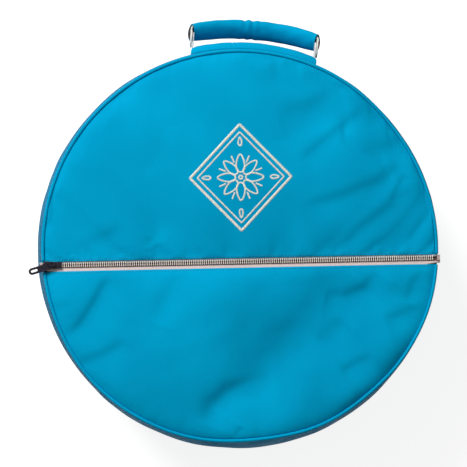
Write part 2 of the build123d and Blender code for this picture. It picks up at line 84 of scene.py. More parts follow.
X, Y, Z = 0, 1, 2
FRONT = high("front_panel", Z)
MIDDLE = FRONT / 2
PANEL_RADIUS = high("back_panel", X)
PIPING_RADIUS = (high("back_piping", Z) - low("back_piping", Z)) / 2
PIPING_RING = high("back_piping", X) - PIPING_RADIUS
BELLY = high("front_side_band", X)
FABRIC = FRONT - low("front_panel", Z)
LAYER_GAP = 0.2 * MM
BODY_GAP = 0.4 * MM
FOAM_BACK = FABRIC + high("back_foam", Z) - low("back_foam", Z) + LAYER_GAP
LINING_DEPTH = FOAM_BACK + 2 * LAYER_GAP
LINING_THICKNESS = high("back_lining", Z) - low("back_lining", Z)
BACK_EDGE = high("back_side_band", Z)
FRONT_EDGE = low("front_side_band", Z)
ZIP_HEIGHT = (BACK_EDGE + FRONT_EDGE) / 2
HEM = low("front_panel", Y)
POCKET_EDGE = high("pocket_panel", Y)
JOINTS = {joint["name"]: joint for joint in frame["joints"]}
HINGE = Vector(JOINTS["lid_hinge"]["pos_m"])
BARREL = (BELLY + HINGE.y) / (MIDDLE - HINGE.z) ** 2
print(f"panel radius {PANEL_RADIUS:.4f}, belly {BELLY:.4f}, front face at {FRONT:.4f}")


def wall(height, depth=0.0):
    """Radius of the side wall at a height, or of the layer that lies depth inside it."""
    return BELLY - BARREL * (height - MIDDLE) ** 2 - depth


def on_wall(bearing, height, depth=0.0):
    """A point on the side wall, at a bearing in radians."""
    radius = wall(height, depth)
    return Vector((radius * cos(bearing), radius * sin(bearing), height))


# The soft front seam lies outside its plain circle: by the slack all round, and by more or less
# in waves, given as (bearing in degrees, width in degrees, rise in mm).
RIM_SLACK = 3.4 * MM
RIM_WAVES = ((275, 17, -5.0), (308, 12, -2.2), (220, 20, 2.6), (35, 18, -2.2), (342, 14, 1.6))


def rim_shift(bearing):
    """How far the soft front seam lies outside its plain circle, at a bearing in radians."""
    shift = RIM_SLACK
    for middle, width, rise in RIM_WAVES:
        turn = (degrees(bearing) - middle + 180) % 360 - 180
        shift += rise * MM * exp(-(turn / width) ** 2)
    return shift


def ease_out(x, y):
    """Moves a place on the front outwards with the rim. Places well inside stay."""
    reach = hypot(x, y)
    stretch = 1 + rim_shift(atan2(y, x)) / PANEL_RADIUS * (reach / PANEL_RADIUS) ** 8
    return x * stretch, y * stretch


def front_swell(bearing, height):
    """What the rim's shift adds to the front wall's radius, from nothing at the main zip."""
    share = max(0.0, (height - FRONT_EDGE) / (FRONT - FRONT_EDGE))
    return rim_shift(bearing) * min(1.0, share) ** 3


def off_wall(bearing, height):
    """The direction straight out of the side wall."""
    slope = 2 * BARREL * (height - MIDDLE)
    return Vector((cos(bearing), sin(bearing), slope)).normalized()


# %% [markdown]
# ## Making cloth from a grid
#
# Cloth is a grid of quads whose corners a short function places. The same grid carries a UV map
# in metres of flat cloth, so a weave keeps its real scale on a flat panel, round the wall and
# along a cord. Modifiers then give it thickness, and the evaluated result replaces the mesh.

# %% Grid tools
UV = "cloth"


def new_object(name, mesh):
    piece = bpy.data.objects.new(name, mesh)
    bpy.context.scene.collection.objects.link(piece)
    return piece


def skin(name, rows, columns, place, unroll, round_rows=False, round_columns=False):
    """Quads over a grid. place(i, j) is a corner's point, unroll(i, j) its place on flat cloth."""
    mesh = bpy.data.meshes.new(name)
    points = [place(i, j) for i in range(rows) for j in range(columns)]
    faces = []
    flat = []
    for i in range(rows if round_rows else rows - 1):
        for j in range(columns if round_columns else columns - 1):
            corners = ((i, j), (i, j + 1), (i + 1, j + 1), (i + 1, j))
            faces.append([(a % rows) * columns + b % columns for a, b in corners])
            flat.extend(unroll(a, b) for a, b in corners)
    mesh.from_pydata(points, [], faces)
    layer = mesh.uv_layers.new(name=UV)
    layer.data.foreach_set("uv", [value for pair in flat for value in pair])
    return new_object(name, mesh)


def settle_modifiers(piece):
    """Replaces the mesh by what its modifiers make of it."""
    evaluated = piece.evaluated_get(bpy.context.evaluated_depsgraph_get())
    mesh = bpy.data.meshes.new_from_object(evaluated)
    piece.modifiers.clear()
    piece.data = mesh
    return piece


def close_up(piece, weld=1e-6):
    """Welds doubles, turns a closed form right side out, and shades it smooth."""
    work = bmesh.new()
    work.from_mesh(piece.data)
    bmesh.ops.remove_doubles(work, verts=work.verts, dist=weld)
    bmesh.ops.dissolve_degenerate(work, edges=work.edges, dist=weld)
    if work.calc_volume(signed=True) < 0:
        bmesh.ops.reverse_faces(work, faces=work.faces)
    work.to_mesh(piece.data)
    work.free()
    piece.data.shade_smooth()
    return piece


def thicken(piece, thickness, inwards=True):
    """Gives an open skin its cloth thickness, away from the side that its faces show."""
    weld = piece.modifiers.new("Weld", "WELD")
    weld.merge_threshold = 1e-6
    body = piece.modifiers.new("Thickness", "SOLIDIFY")
    body.thickness = thickness
    body.offset = -1 if inwards else 1
    body.use_even_offset = True
    return close_up(settle_modifiers(piece))


def cap_ends(piece):
    """Fills the open ends of a tube and closes it up."""
    work = bmesh.new()
    work.from_mesh(piece.data)
    bmesh.ops.holes_fill(work, edges=[edge for edge in work.edges if edge.is_boundary])
    work.to_mesh(piece.data)
    work.free()
    return close_up(piece)


def run_lengths(chain):
    """Distance along a chain of (x, y) to each of its points."""
    lengths = [0.0]
    for (ax, ay), (bx, by) in zip(chain, chain[1:]):
        lengths.append(lengths[-1] + hypot(bx - ax, by - ay))
    return lengths


def report(piece):
    piece.data.calc_loop_triangles()
    print(f"{piece.name}: {len(piece.data.loop_triangles)} triangles")
    return piece


def dress(piece, finish, body, slot, *nodes):
    """Gives a piece its finish, lets it ride on a body, and lets it stand for its CAD nodes."""
    piece.data.materials.append(finish)
    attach(piece, body)
    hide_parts(*nodes)
    return report(piece)


# %% [markdown]
# ## Shader maths as Python
#
# A woven cloth needs a dozen maths nodes, which is hard to read as node calls. A wire wraps an
# output socket and takes part in ordinary arithmetic, and one method makes every other node.

# %% Wires and finishes
class Wire:
    """An output socket of a finish, used in arithmetic."""

    def __init__(self, finish, socket):
        self.finish = finish
        self.socket = socket

    def math(self, operation, *values):
        return self.finish.node("ShaderNodeMath", {"operation": operation}, values)

    def __add__(self, other):
        return self.math("ADD", self, other)

    __radd__ = __add__

    def __sub__(self, other):
        return self.math("SUBTRACT", self, other)

    def __rsub__(self, other):
        return self.math("SUBTRACT", other, self)

    def __mul__(self, other):
        return self.math("MULTIPLY", self, other)

    __rmul__ = __mul__

    def __mod__(self, other):
        return self.math("FLOORED_MODULO", self, other)

    def __abs__(self):
        return self.math("ABSOLUTE", self)

    def floor(self):
        return self.math("FLOOR", self)

    def sine(self):
        return self.math("SINE", self)

    def above(self, limit):
        return self.math("GREATER_THAN", self, limit)

    def clamp(self):
        return self.finish.node("ShaderNodeClamp", {}, [self, 0.0, 1.0])


class Finish:
    """A material under construction."""

    def __init__(self, name):
        self.material = bpy.data.materials.new(name)
        self.material.use_nodes = True
        self.tree = self.material.node_tree
        self.tree.nodes.clear()

    def node(self, kind, settings, inputs, out=0):
        """Any node: its settings first, then the values or wires of its sockets."""
        made = self.tree.nodes.new(kind)
        for key, value in settings.items():
            setattr(made, key, value)
        pairs = inputs.items() if isinstance(inputs, dict) else enumerate(inputs)
        for key, value in pairs:
            if isinstance(value, Wire):
                self.tree.links.new(value.socket, made.inputs[key])
            else:
                made.inputs[key].default_value = value
        return Wire(self, made.outputs[out])

    def place(self):
        return self.node("ShaderNodeTexCoord", {}, {}, "Object")

    def flat(self):
        """The piece's own cloth map: u and v in metres."""
        vector = self.node("ShaderNodeUVMap", {"uv_map": UV}, {})
        split = self.node("ShaderNodeSeparateXYZ", {}, [vector], "X")
        return split, Wire(self, split.socket.node.outputs["Y"])

    def noise(self, scale, detail=3.0):
        spots = {"Vector": self.place(), "Scale": scale, "Detail": detail}
        return self.node("ShaderNodeTexNoise", {}, spots, "Fac")

    def mix(self, share, first, second):
        """A colour between two, by a wire from 0 to 1."""
        made = self.node("ShaderNodeMix", {"data_type": "RGBA"}, {0: share}, 2)
        for index, colour in ((6, first), (7, second)):
            socket = made.socket.node.inputs[index]
            if isinstance(colour, Wire):
                self.tree.links.new(colour.socket, socket)
            else:
                socket.default_value = colour
        return made

    def bump(self, height, distance, strength=1.0, under=None):
        sockets = {"Height": height, "Distance": distance, "Strength": strength}
        if under:
            sockets["Normal"] = under
        return self.node("ShaderNodeBump", {}, sockets)

    def surface(self, **sockets):
        """The shader itself. A key is a socket's name with _ for each space."""
        named = {key.replace("_", " "): value for key, value in sockets.items()}
        shader = self.node("ShaderNodeBsdfPrincipled", {}, named)
        output = self.tree.nodes.new("ShaderNodeOutputMaterial")
        self.tree.links.new(shader.socket, output.inputs["Surface"])
        return self.material


def colour(red, green, blue):
    """A colour given as it looks, in steps of 0 to 255, made linear for the shader."""
    def linear(step):
        share = step / 255
        return share / 12.92 if share <= 0.04045 else ((share + 0.055) / 1.055) ** 2.4
    return (linear(red), linear(green), linear(blue), 1.0)


# %% [markdown]
# ## Cloth finishes
#
# The case is a coated plain weave: fine threads over and under, next to no gloss, and broad
# cloudy changes of tone where the coating creased. Plain weave is a checker of two rounded
# ridges, one for each thread direction. They go into the bump to move the light, and into the
# colour as painted shade: darker in the valleys between the threads, lighter on their crowns.
# The walls wear the same cloth painted darker, which is painted shade: the real walls have the
# panels' colour. The lining and the binding have no coating.

# %% Woven cloth
def weave(finish, pitch):
    """Height of a plain weave from 0 to 1."""
    u, v = finish.flat()
    across = u * (1 / pitch)
    along = v * (1 / pitch)
    over = (across.floor() + along.floor()) % 2.0
    warp = abs((across * pi).sine())
    weft = abs((along * pi).sine())
    return warp * over + weft * (1 - over)


def woven(name, light, dark, pitch, roughness, depth, **gloss):
    """Plain-woven cloth: thread, crinkle and cloud, each at its own scale."""
    finish = Finish(name)
    threads = weave(finish, pitch)
    cloud = finish.noise(9.0, 2.0)
    crinkle = finish.noise(160.0, 4.0)
    # The colour is a random cloud of tone plus painted shade from the weave: darker between the
    # threads, lighter on their crowns.
    tone = (cloud * 1.6 - 0.3 + (threads - 0.5) * 0.18).clamp()
    shell = finish.bump(crinkle, 0.35 * MM, 0.35)
    return finish.surface(
        Base_Color=finish.mix(tone, dark, light),
        Roughness=(roughness + (crinkle - 0.5) * 0.22 - threads * 0.05).clamp(),
        Normal=finish.bump(threads, depth, 0.5, shell),
        **gloss,
    )


COATED = {"Specular_IOR_Level": 0.01, "Specular_Tint": (0.1, 0.75, 1.0, 1.0)}
PLAIN = {"Specular_IOR_Level": 0.3, "Sheen_Weight": 0.15, "Sheen_Roughness": 0.4}
SHELL = woven("turquoise_cloth", light=colour(2, 168, 213), dark=colour(2, 146, 189),
              pitch=0.55 * MM, roughness=0.5, depth=0.1 * MM, **COATED)
# The walls' cloth is the shell's cloth painted darker: painted shade, not a darker dye.
WALL_CLOTH_PAINTED_SHADE = woven("wall_cloth_painted_shade", light=colour(2, 128, 170), dark=colour(2, 108, 148),
               pitch=0.55 * MM, roughness=0.5, depth=0.1 * MM, **COATED)
LINING = woven("black_lining", light=colour(44, 44, 48), dark=colour(26, 26, 30),
               pitch=0.4 * MM, roughness=0.55, depth=0.08 * MM, **PLAIN)
BINDING = woven("binding_tape", light=colour(40, 40, 44), dark=colour(22, 22, 24),
                pitch=0.9 * MM, roughness=0.7, depth=0.2 * MM, **PLAIN)
print("woven finishes:", SHELL.name, WALL_CLOTH_PAINTED_SHADE.name, LINING.name, BINDING.name)

# %% [markdown]
# Zip tape is a narrow herringbone: thread ridges that lean one way, then the other. Both tapes
# of the pocket zip have a dark band under their teeth, which is painted shade in the gaps between
# the teeth. On the cream tape the band reaches past the teeth: partly a brown stripe woven in
# beside them, partly painted shade. So the colour changes with the distance from the tape's inner
# edge, which is the map's v.

# %% Zip tape and webbing
def herringbone(finish, pitch, band):
    """Height of ridges that change their lean from band to band."""
    u, v = finish.flat()
    lean = abs((v * (1 / band)) % 2.0 - 1.0)
    return abs(((u * (1 / pitch) + lean * (band / pitch)) * pi).sine())


def tape_finish(name, light, dark, guide_line_and_shade=None):
    """Woven tape. A dark band of painted shade under the teeth, which on the cream tape also holds
    a brown woven stripe, is given as (its near edge, its width, its colour).
    """
    finish = Finish(name)
    ridges = herringbone(finish, 0.7 * MM, 1.4 * MM)
    stain = finish.noise(60.0, 3.0)
    # The colour is random stain plus painted shade from the ridges: darker between them, lighter on
    # their tops.
    tone = (ridges * 0.45 + stain * 0.7).clamp()
    base = finish.mix(tone, dark, light)
    if guide_line_and_shade:
        # The band is painted shade under the teeth; on the cream tape it also holds a brown woven
        # stripe.
        edge, width, shade = guide_line_and_shade
        across = finish.flat()[1]
        base = finish.mix(across.above(edge) * (1 - across.above(edge + width)), base, shade)
    return finish.surface(
        Base_Color=base,
        Roughness=0.72 + (stain - 0.5) * 0.2,
        Normal=finish.bump(ridges, 0.22 * MM, 0.7),
        Sheen_Weight=0.25,
    )


TOOTH_ROW = high("pocket_teeth_upper", Y) - low("pocket_teeth_upper", Y)
# The dark bands begin under the teeth, as painted shade between them; the cream tape's band also
# carries a brown woven stripe with painted shade beside the teeth.
GUIDE_AND_SHADE_START = -1.0 * MM
CREAM_TAPE = tape_finish("cream_tape", colour(252, 228, 222), colour(226, 202, 196),
                         (GUIDE_AND_SHADE_START, TOOTH_ROW + 1.9 * MM, colour(104, 72, 62)))
GREY_TAPE = tape_finish("grey_tape", colour(206, 224, 232), colour(168, 188, 198),
                        (GUIDE_AND_SHADE_START, TOOTH_ROW + 1.0 * MM, colour(122, 108, 104)))
SIDE_TAPE = tape_finish("side_zip_tape", colour(206, 198, 190), colour(172, 162, 154))
WEBBING = tape_finish("pale_webbing", colour(236, 234, 228), colour(206, 204, 198))
print("tape finishes:", CREAM_TAPE.name, SIDE_TAPE.name, WEBBING.name)

# %% [markdown]
# Foam, thread, resin teeth and the black sliders need no cloth map. They read the object's own
# place, so nothing slides when the piece is baked. The slider's paint has a clear coat, and a
# fine orange peel that breaks its reflections.

# %% Foam, thread, teeth and painted metal
def speckled(name, light, dark, scale, roughness, depth, **constants):
    """A finish whose tone, gloss and relief follow one fine noise."""
    finish = Finish(name)
    grain = finish.noise(scale, 5.0)
    patch = finish.noise(scale / 12, 2.0)
    return finish.surface(
        Base_Color=finish.mix((grain * 0.7 + patch * 0.6 - 0.15).clamp(), dark, light),
        Roughness=(roughness + (grain - 0.5) * 0.2 + (patch - 0.5) * 0.12).clamp(),
        Normal=finish.bump(grain, depth, 0.6),
        **constants,
    )


FOAM = speckled("black_foam", light=colour(38, 38, 40), dark=colour(14, 14, 15),
                scale=900.0, roughness=0.9, depth=0.5 * MM)
TEETH = speckled("zip_resin", light=colour(250, 242, 234), dark=colour(216, 202, 190),
                 scale=500.0, roughness=0.3, depth=0.05 * MM)
STOP_RESIN = speckled("stop_resin", light=colour(214, 190, 182), dark=colour(168, 144, 136),
                      scale=500.0, roughness=0.4, depth=0.05 * MM)
PAINT = speckled("black_enamel", light=colour(30, 22, 44), dark=colour(5, 4, 8),
                 scale=230.0, roughness=0.3, depth=0.5 * MM, Coat_Weight=0.35, Coat_Roughness=0.15)
SHELL_THREAD = speckled("turquoise_thread", light=colour(0, 140, 182), dark=colour(0, 96, 132),
                        scale=1500.0, roughness=0.5, depth=0.05 * MM)
EMBROIDERY = speckled("ivory_thread", light=colour(252, 250, 240), dark=colour(226, 222, 208),
                      scale=1500.0, roughness=0.42, depth=0.05 * MM)
print("plain finishes:", FOAM.name, TEETH.name, PAINT.name, EMBROIDERY.name)

# %% [markdown]
# ## Repeating along a path
#
# Teeth and stitches follow seams. One Geometry Nodes tree does it: the path is a chain of edges
# whose points carry the direction that is outwards there, the chain becomes a curve, points are
# laid along it at a pitch, and one small item is set on each, turned along the path.
# Laying them with Python loops would also work, but then each item would have to be turned by
# hand, and changing the pitch would mean running the loop again.

# %% The tree
OUTWARDS = "outwards"


def tree_node(tree, kind, settings, inputs):
    made = tree.nodes.new(kind)
    for key, value in settings.items():
        setattr(made, key, value)
    for key, value in inputs.items():
        if isinstance(value, bpy.types.NodeSocket):
            tree.links.new(value, made.inputs[key])
        else:
            made.inputs[key].default_value = value
    return made


def make_lay_tree():
    tree = bpy.data.node_groups.new("lay_along_path", "GeometryNodeTree")
    inputs = (("Path", "Geometry"), ("Item", "Object"), ("Pitch", "Float"), ("Lift", "Float"),
              ("Wobble", "Float"), ("Seed", "Int"), ("Finish", "Material"))
    for name, kind in inputs:
        tree.interface.new_socket(name=name, in_out="INPUT", socket_type="NodeSocket" + kind)
    tree.interface.new_socket(name="Result", in_out="OUTPUT", socket_type="NodeSocketGeometry")
    given = tree.nodes.new("NodeGroupInput").outputs
    curve = tree_node(tree, "GeometryNodeMeshToCurve", {}, {"Mesh": given["Path"]})
    spaced = tree_node(tree, "GeometryNodeResampleCurve", {"mode": "LENGTH"},
                       {"Curve": curve.outputs[0], "Length": given["Pitch"]})
    item = tree_node(tree, "GeometryNodeObjectInfo", {}, {"Object": given["Item"]})
    tangent = tree_node(tree, "GeometryNodeInputTangent", {}, {})
    out = tree_node(tree, "GeometryNodeInputNamedAttribute", {"data_type": "FLOAT_VECTOR"},
                    {"Name": OUTWARDS})
    along = tree_node(tree, "FunctionNodeAlignRotationToVector", {"axis": "X"},
                      {"Vector": tangent.outputs[0]})
    turned = tree_node(tree, "FunctionNodeAlignRotationToVector", {"axis": "Z", "pivot_axis": "X"},
                       {"Rotation": along.outputs[0], "Vector": out.outputs[0]})
    spin = tree_node(tree, "FunctionNodeRandomValue", {"data_type": "FLOAT"},
                     {"Seed": given["Seed"], 2: -1.0, 3: 1.0})
    amount = tree_node(tree, "ShaderNodeMath", {"operation": "MULTIPLY"},
                       {0: spin.outputs[1], 1: given["Wobble"]})
    tilt = tree_node(tree, "ShaderNodeCombineXYZ", {}, {"Z": amount.outputs[0]})
    shaken = tree_node(tree, "FunctionNodeRotateRotation", {"rotation_space": "LOCAL"},
                       {"Rotation": turned.outputs[0], "Rotate By": tilt.outputs[0]})
    lifted = tree_node(tree, "ShaderNodeVectorMath", {"operation": "SCALE"},
                       {0: out.outputs[0], "Scale": given["Lift"]})
    moved = tree_node(tree, "GeometryNodeSetPosition", {},
                      {"Geometry": spaced.outputs[0], "Offset": lifted.outputs[0]})
    laid = tree_node(tree, "GeometryNodeInstanceOnPoints", {},
                     {"Points": moved.outputs[0], "Instance": item.outputs["Geometry"],
                      "Rotation": shaken.outputs[0]})
    real = tree_node(tree, "GeometryNodeRealizeInstances", {}, {"Geometry": laid.outputs[0]})
    painted = tree_node(tree, "GeometryNodeSetMaterial", {},
                        {"Geometry": real.outputs[0], "Material": given["Finish"]})
    result = tree.nodes.new("NodeGroupOutput")
    tree.links.new(painted.outputs[0], result.inputs[0])
    return tree


LAY_TREE = make_lay_tree()
LAY_INPUTS = {socket.name: socket.identifier for socket in LAY_TREE.interface.items_tree
              if socket.in_out == "INPUT"}
print("tree inputs:", ", ".join(LAY_INPUTS))

# %% [markdown]
# A path is written as chains of edges, and each of its points keeps the way that is outwards
# there. The laid items come back as one plain mesh, because the export drops instances.

# %% Using the tree
def path_mesh(name, paths):
    """Chains of edges. A path is (points, outward directions, whether it closes)."""
    mesh = bpy.data.meshes.new(name)
    points = []
    directions = []
    edges = []
    for chain, outs, closes in paths:
        first = len(points)
        points.extend(chain)
        directions.extend(outs)
        last = len(points) - 1
        edges.extend((k, k + 1) for k in range(first, last))
        if closes:
            edges.append((last, first))
    mesh.from_pydata(points, edges, [])
    layer = mesh.attributes.new(OUTWARDS, "FLOAT_VECTOR", "POINT")
    layer.data.foreach_set("vector", [value for out in directions for value in out])
    return mesh


def lay_along(name, paths, item, pitch, finish, lift=0.0, wobble=0.0, seed=1):
    """Sets a copy of the item every pitch along the paths, as one plain mesh."""
    piece = new_object(name, path_mesh(name, paths))
    nodes = piece.modifiers.new("Lay", "NODES")
    nodes.node_group = LAY_TREE
    values = {"Item": item, "Pitch": pitch, "Lift": lift, "Wobble": wobble, "Seed": seed,
              "Finish": finish}
    for key, value in values.items():
        nodes[LAY_INPUTS[key]] = value
    settle_modifiers(piece)
    piece.data.shade_smooth()
    return report(piece)


# %% [markdown]
# The items are tiny, and there are thousands of them, so each has a few dozen faces at most.
# A stitch is a short thread whose ends dive into the cloth. A zip tooth has a foot on the tape
# and a narrower head, with a chamfer that catches the light.

# %% Items
ITEMS = []


def keep_item(name, work):
    mesh = bpy.data.meshes.new(name)
    bmesh.ops.recalc_face_normals(work, faces=work.faces)
    work.to_mesh(mesh)
    work.free()
    item = new_object(name, mesh)
    ITEMS.append(item)
    return item


# Stations along a stitch: (share of its half length, how far it has sunk, how fat it is).
STITCH_SHAPE = ((-1, 1.0, 0.35), (-0.8, 0.2, 0.9), (0, 0, 1.0), (0.8, 0.2, 0.9), (1, 1.0, 0.35))


def bridge(work, rings):
    """Quads between rings of corners, and a cap on both ends."""
    for first, second in zip(rings, rings[1:]):
        for k in range(len(first)):
            following = (k + 1) % len(first)
            work.faces.new((first[k], first[following], second[following], second[k]))
    work.faces.new(rings[0])
    work.faces.new(rings[-1])


def stitch_item(name, length, thickness, along="X", sides=6):
    """A thread lying on the cloth, with both ends bent down into it."""
    work = bmesh.new()
    rings = []
    for share, sunk, fat in STITCH_SHAPE:
        ring = []
        for k in range(sides):
            turn = 2 * pi * k / sides
            side = fat * thickness / 2 * cos(turn)
            up = fat * thickness / 2 * sin(turn) - sunk * thickness * 0.7
            run = share * length / 2
            place = (run, side, up) if along == "X" else (side, run, up)
            ring.append(work.verts.new(place))
        rings.append(ring)
    bridge(work, rings)
    return keep_item(name, work)


def tooth_item(name, length, width, height):
    """A tooth whose foot is at -Y and whose narrow head is at +Y, standing on Z = 0."""
    half = length / 2
    right_side = [(half, -width / 2), (half, 0),
                  (half * 0.62, width * 0.36), (half * 0.5, width / 2)]
    left_side = [(-x, y) for x, y in reversed(right_side)]
    outline = left_side[-1:] + right_side + left_side[:-1]
    work = bmesh.new()
    levels = ((0.0, 1.0), (height * 0.6, 1.0), (height * 0.9, 0.84), (height, 0.55))
    rings = [[work.verts.new((x * shrink, y * shrink, z)) for x, y in outline]
             for z, shrink in levels]
    bridge(work, rings)
    return keep_item(name, work)


TOP_STITCH = stitch_item("item_top_stitch", length=3.0 * MM, thickness=0.5 * MM)
# How far a tooth's head reaches past its row, so that the two rows mesh.
TOOTH_REACH = 0.7 * MM
ZIP_TOOTH = tooth_item("item_zip_tooth", length=1.35 * MM, width=TOOTH_ROW + TOOTH_REACH,
                       height=2.0 * MM)
print("items:", ", ".join(item.name for item in ITEMS))

# %% [markdown]
# ## Folds and puckers
#
# Coated cloth creases in long soft folds, and gathers in short ticks where a curved seam eases
# it in. A fold here is a chain of points with a width, a depth and a way back: the cloth falls
# steeply on the chain's left and comes up again slowly beyond, as a sagging panel does. Real
# folds could come from a cloth simulation alone, but then their places could not be chosen.

# %% Fold tools
def rumple(u, v, size, seed):
    """Smooth noise from about -1 to 1, with features of a given size."""
    return noise.noise(Vector((u / size, v / size, seed)))


def nearest_on_chain(x, y, chain):
    """Signed distance to a chain, more than 0 on its left, and how far along it lies the nearest
    point, from 0 to 1."""
    best = (1e9, 0.0)
    spans = len(chain) - 1
    for k in range(spans):
        (ax, ay), (bx, by) = chain[k], chain[k + 1]
        run = (bx - ax, by - ay)
        share = ((x - ax) * run[0] + (y - ay) * run[1]) / (run[0] ** 2 + run[1] ** 2)
        share = min(1.0, max(0.0, share))
        gap = hypot(x - ax - share * run[0], y - ay - share * run[1])
        if gap < abs(best[0]):
            left = run[0] * (y - ay) - run[1] * (x - ax) > 0
            best = (gap if left else -gap, (k + share) / spans)
    return best


def drop(x, y, chain, width, depth, back, fade=0.3):
    """A fold that falls steeply to the left of its chain, and comes back up over back widths."""
    gap, share = nearest_on_chain(x, y, chain)
    run = gap / width
    if run < -3 or run > 3 * back:
        return 0.0
    ends = min(1.0, share / fade, (1 - share) / fade)
    ends = max(0.0, ends)
    fall = 1 / (1 + exp(-3 * run))
    return -depth * fall * exp(-(max(0.0, run) / back) ** 2) * ends * (2 - ends)


def ticks(along, from_seam, pitch, reach, depth, seed):
    """Short creases that run out of a seam and die away within reach."""
    ridge = noise.noise(Vector((along / pitch, seed, from_seam / (reach * 3))))
    return depth * max(0.0, ridge) ** 1.2 * exp(-(from_seam / reach) ** 2)


# %% [markdown]
# Both front panels are first hung as real cloth: a coarse sheet, pinned all round its seam and
# cut a little too large, is blown up gently by Blender's cloth solver until it wrinkles. Its
# relief is then read as a height at each place, and the finer cloth adds it to the chosen folds.
# The full mesh could be simulated instead, but the coarse one takes seconds.

# %% Cloth simulation
def strip_columns(radius, edge, count):
    """x of columns across a disc cut along a straight edge, closer together at both ends."""
    half = min(radius, sqrt(radius ** 2 - edge ** 2))
    return [half * sin(pi * (k / (count - 1) - 0.5)) for k in range(count)]


def segment_grid(radius, edge, columns, rows, upper):
    """Points (x, y) over the part of a disc above or below a straight edge."""
    grid = []
    for x in strip_columns(radius, edge, columns):
        rim = sqrt(max(0.0, radius ** 2 - x ** 2))
        far = rim if upper else -rim
        grid.append([(x, edge + (far - edge) * k / (rows - 1)) for k in range(rows)])
    return grid


def solve_cloth(piece, pins, slack, pressure, bending, frames=20):
    """Runs the cloth solver on an open sheet and leaves its last frame as the mesh."""
    group = piece.vertex_groups.new(name="seam")
    group.add(pins, 1.0, "REPLACE")
    cloth = piece.modifiers.new("Cloth", "CLOTH")
    settings = cloth.settings
    settings.quality = 6
    settings.mass = 0.25
    settings.tension_stiffness = 20
    settings.compression_stiffness = 20
    settings.shear_stiffness = 8
    settings.bending_stiffness = bending
    settings.vertex_group_mass = "seam"
    settings.shrink_min = -slack
    settings.use_pressure = True
    settings.uniform_pressure_force = pressure
    settings.effector_weights.gravity = 0
    cloth.point_cache.frame_start = 1
    cloth.point_cache.frame_end = frames
    for frame_number in range(1, frames + 1):
        bpy.context.scene.frame_set(frame_number)
    settle_modifiers(piece)
    bpy.context.scene.frame_set(1)


def hung_relief(name, edge, upper, slack, pressure, bending, cap, seed):
    """Height of a pinned, slack sheet over its seam plane, as a function of x and y."""
    columns, rows = 91, 47
    grid = segment_grid(PANEL_RADIUS, edge, columns, rows, upper)
    start = [[0.4 * MM * rumple(x, y, 0.04, seed) for x, y in line] for line in grid]

    def place(i, j):
        x, y = grid[i][j]
        return (x, y, start[i][j])

    sheet = skin(name, columns, rows, place, lambda i, j: grid[i][j])
    if sheet.data.polygons[len(sheet.data.polygons) // 2].normal.z < 0:
        sheet.data.flip_normals()
    rim = [i * rows + j for i in range(columns) for j in range(rows)
           if i in (0, columns - 1) or j in (0, rows - 1)]
    solve_cloth(sheet, rim, slack, pressure, bending)
    heights = [vertex.co.z for vertex in sheet.data.vertices]
    bpy.data.objects.remove(sheet)
    print(f"{name}: relief from {min(heights) / MM:.1f} to {max(heights) / MM:.1f} mm")
    half = grid[-1][0][0]

    def relief(x, y):
        across = (asin(max(-1.0, min(1.0, x / half))) / pi + 0.5) * (columns - 1)
        far = sqrt(max(1e-9, PANEL_RADIUS ** 2 - min(abs(x), half) ** 2)) * (1 if upper else -1)
        up = max(0.0, min(1.0, (y - edge) / (far - edge))) * (rows - 1)
        i, j = min(columns - 2, int(across)), min(rows - 2, int(up))
        s, t = across - i, up - j
        value = ((heights[i * rows + j] * (1 - s) + heights[(i + 1) * rows + j] * s) * (1 - t)
                 + (heights[i * rows + j + 1] * (1 - s) + heights[(i + 1) * rows + j + 1] * s) * t)
        return cap * value / (cap + abs(value))

    return relief


# %% [markdown]
# ## The front panel
#
# The upper part of the front is cloth over thin padding. It swells between the rim and the hem
# of the pocket zip, sinks into the seam along the piping, and its folds fan out from the right
# of the rim. It could be a plain disc with a bumpy finish, but folds of a few millimetres show
# at a low light, so they are shape. It is a closed form: a crowned top over a flat underside.

# %% Front cover
PAD_LOW = low("front_pad", Z)
SEAM_DROP = 2.0 * MM
FRONT_CROWN = 7.5 * MM
# Each fold is (its chain, its width, its depth, and how many widths it takes to come back).
FRONT_FOLDS = (
    (((0.151, 0.163), (0.124, 0.143), (0.093, 0.119), (0.069, 0.099)), 8 * MM, 2.8 * MM, 3.0),
    (((0.194, 0.099), (0.161, 0.076), (0.120, 0.060), (0.070, 0.047)), 10 * MM, 3.6 * MM, 3.0),
    (((0.203, 0.070), (0.172, 0.045), (0.138, 0.020), (0.107, -0.010)), 10 * MM, 4.2 * MM, 2.6),
    (((0.226, 0.044), (0.209, 0.023), (0.189, -0.007)), 8 * MM, 3.4 * MM, 2.4),
    (((0.113, 0.181), (0.080, 0.167), (0.045, 0.156)), 12 * MM, 2.2 * MM, 3.0),
    (((-0.136, 0.030), (-0.162, 0.016), (-0.195, 0.003)), 11 * MM, 2.4 * MM, 3.0),
    (((0.194, 0.082), (0.184, 0.066), (0.176, 0.050)), 5 * MM, 1.6 * MM, 2.0),
)


def pillow(gap, reach):
    """Rises from 0 at a seam to 1 well inside."""
    return 1 - exp(-gap / reach)


front_relief = hung_relief("front_hanging", HEM, upper=True, slack=0.012, pressure=0.35,
                           bending=4.0, cap=5 * MM, seed=2.7)


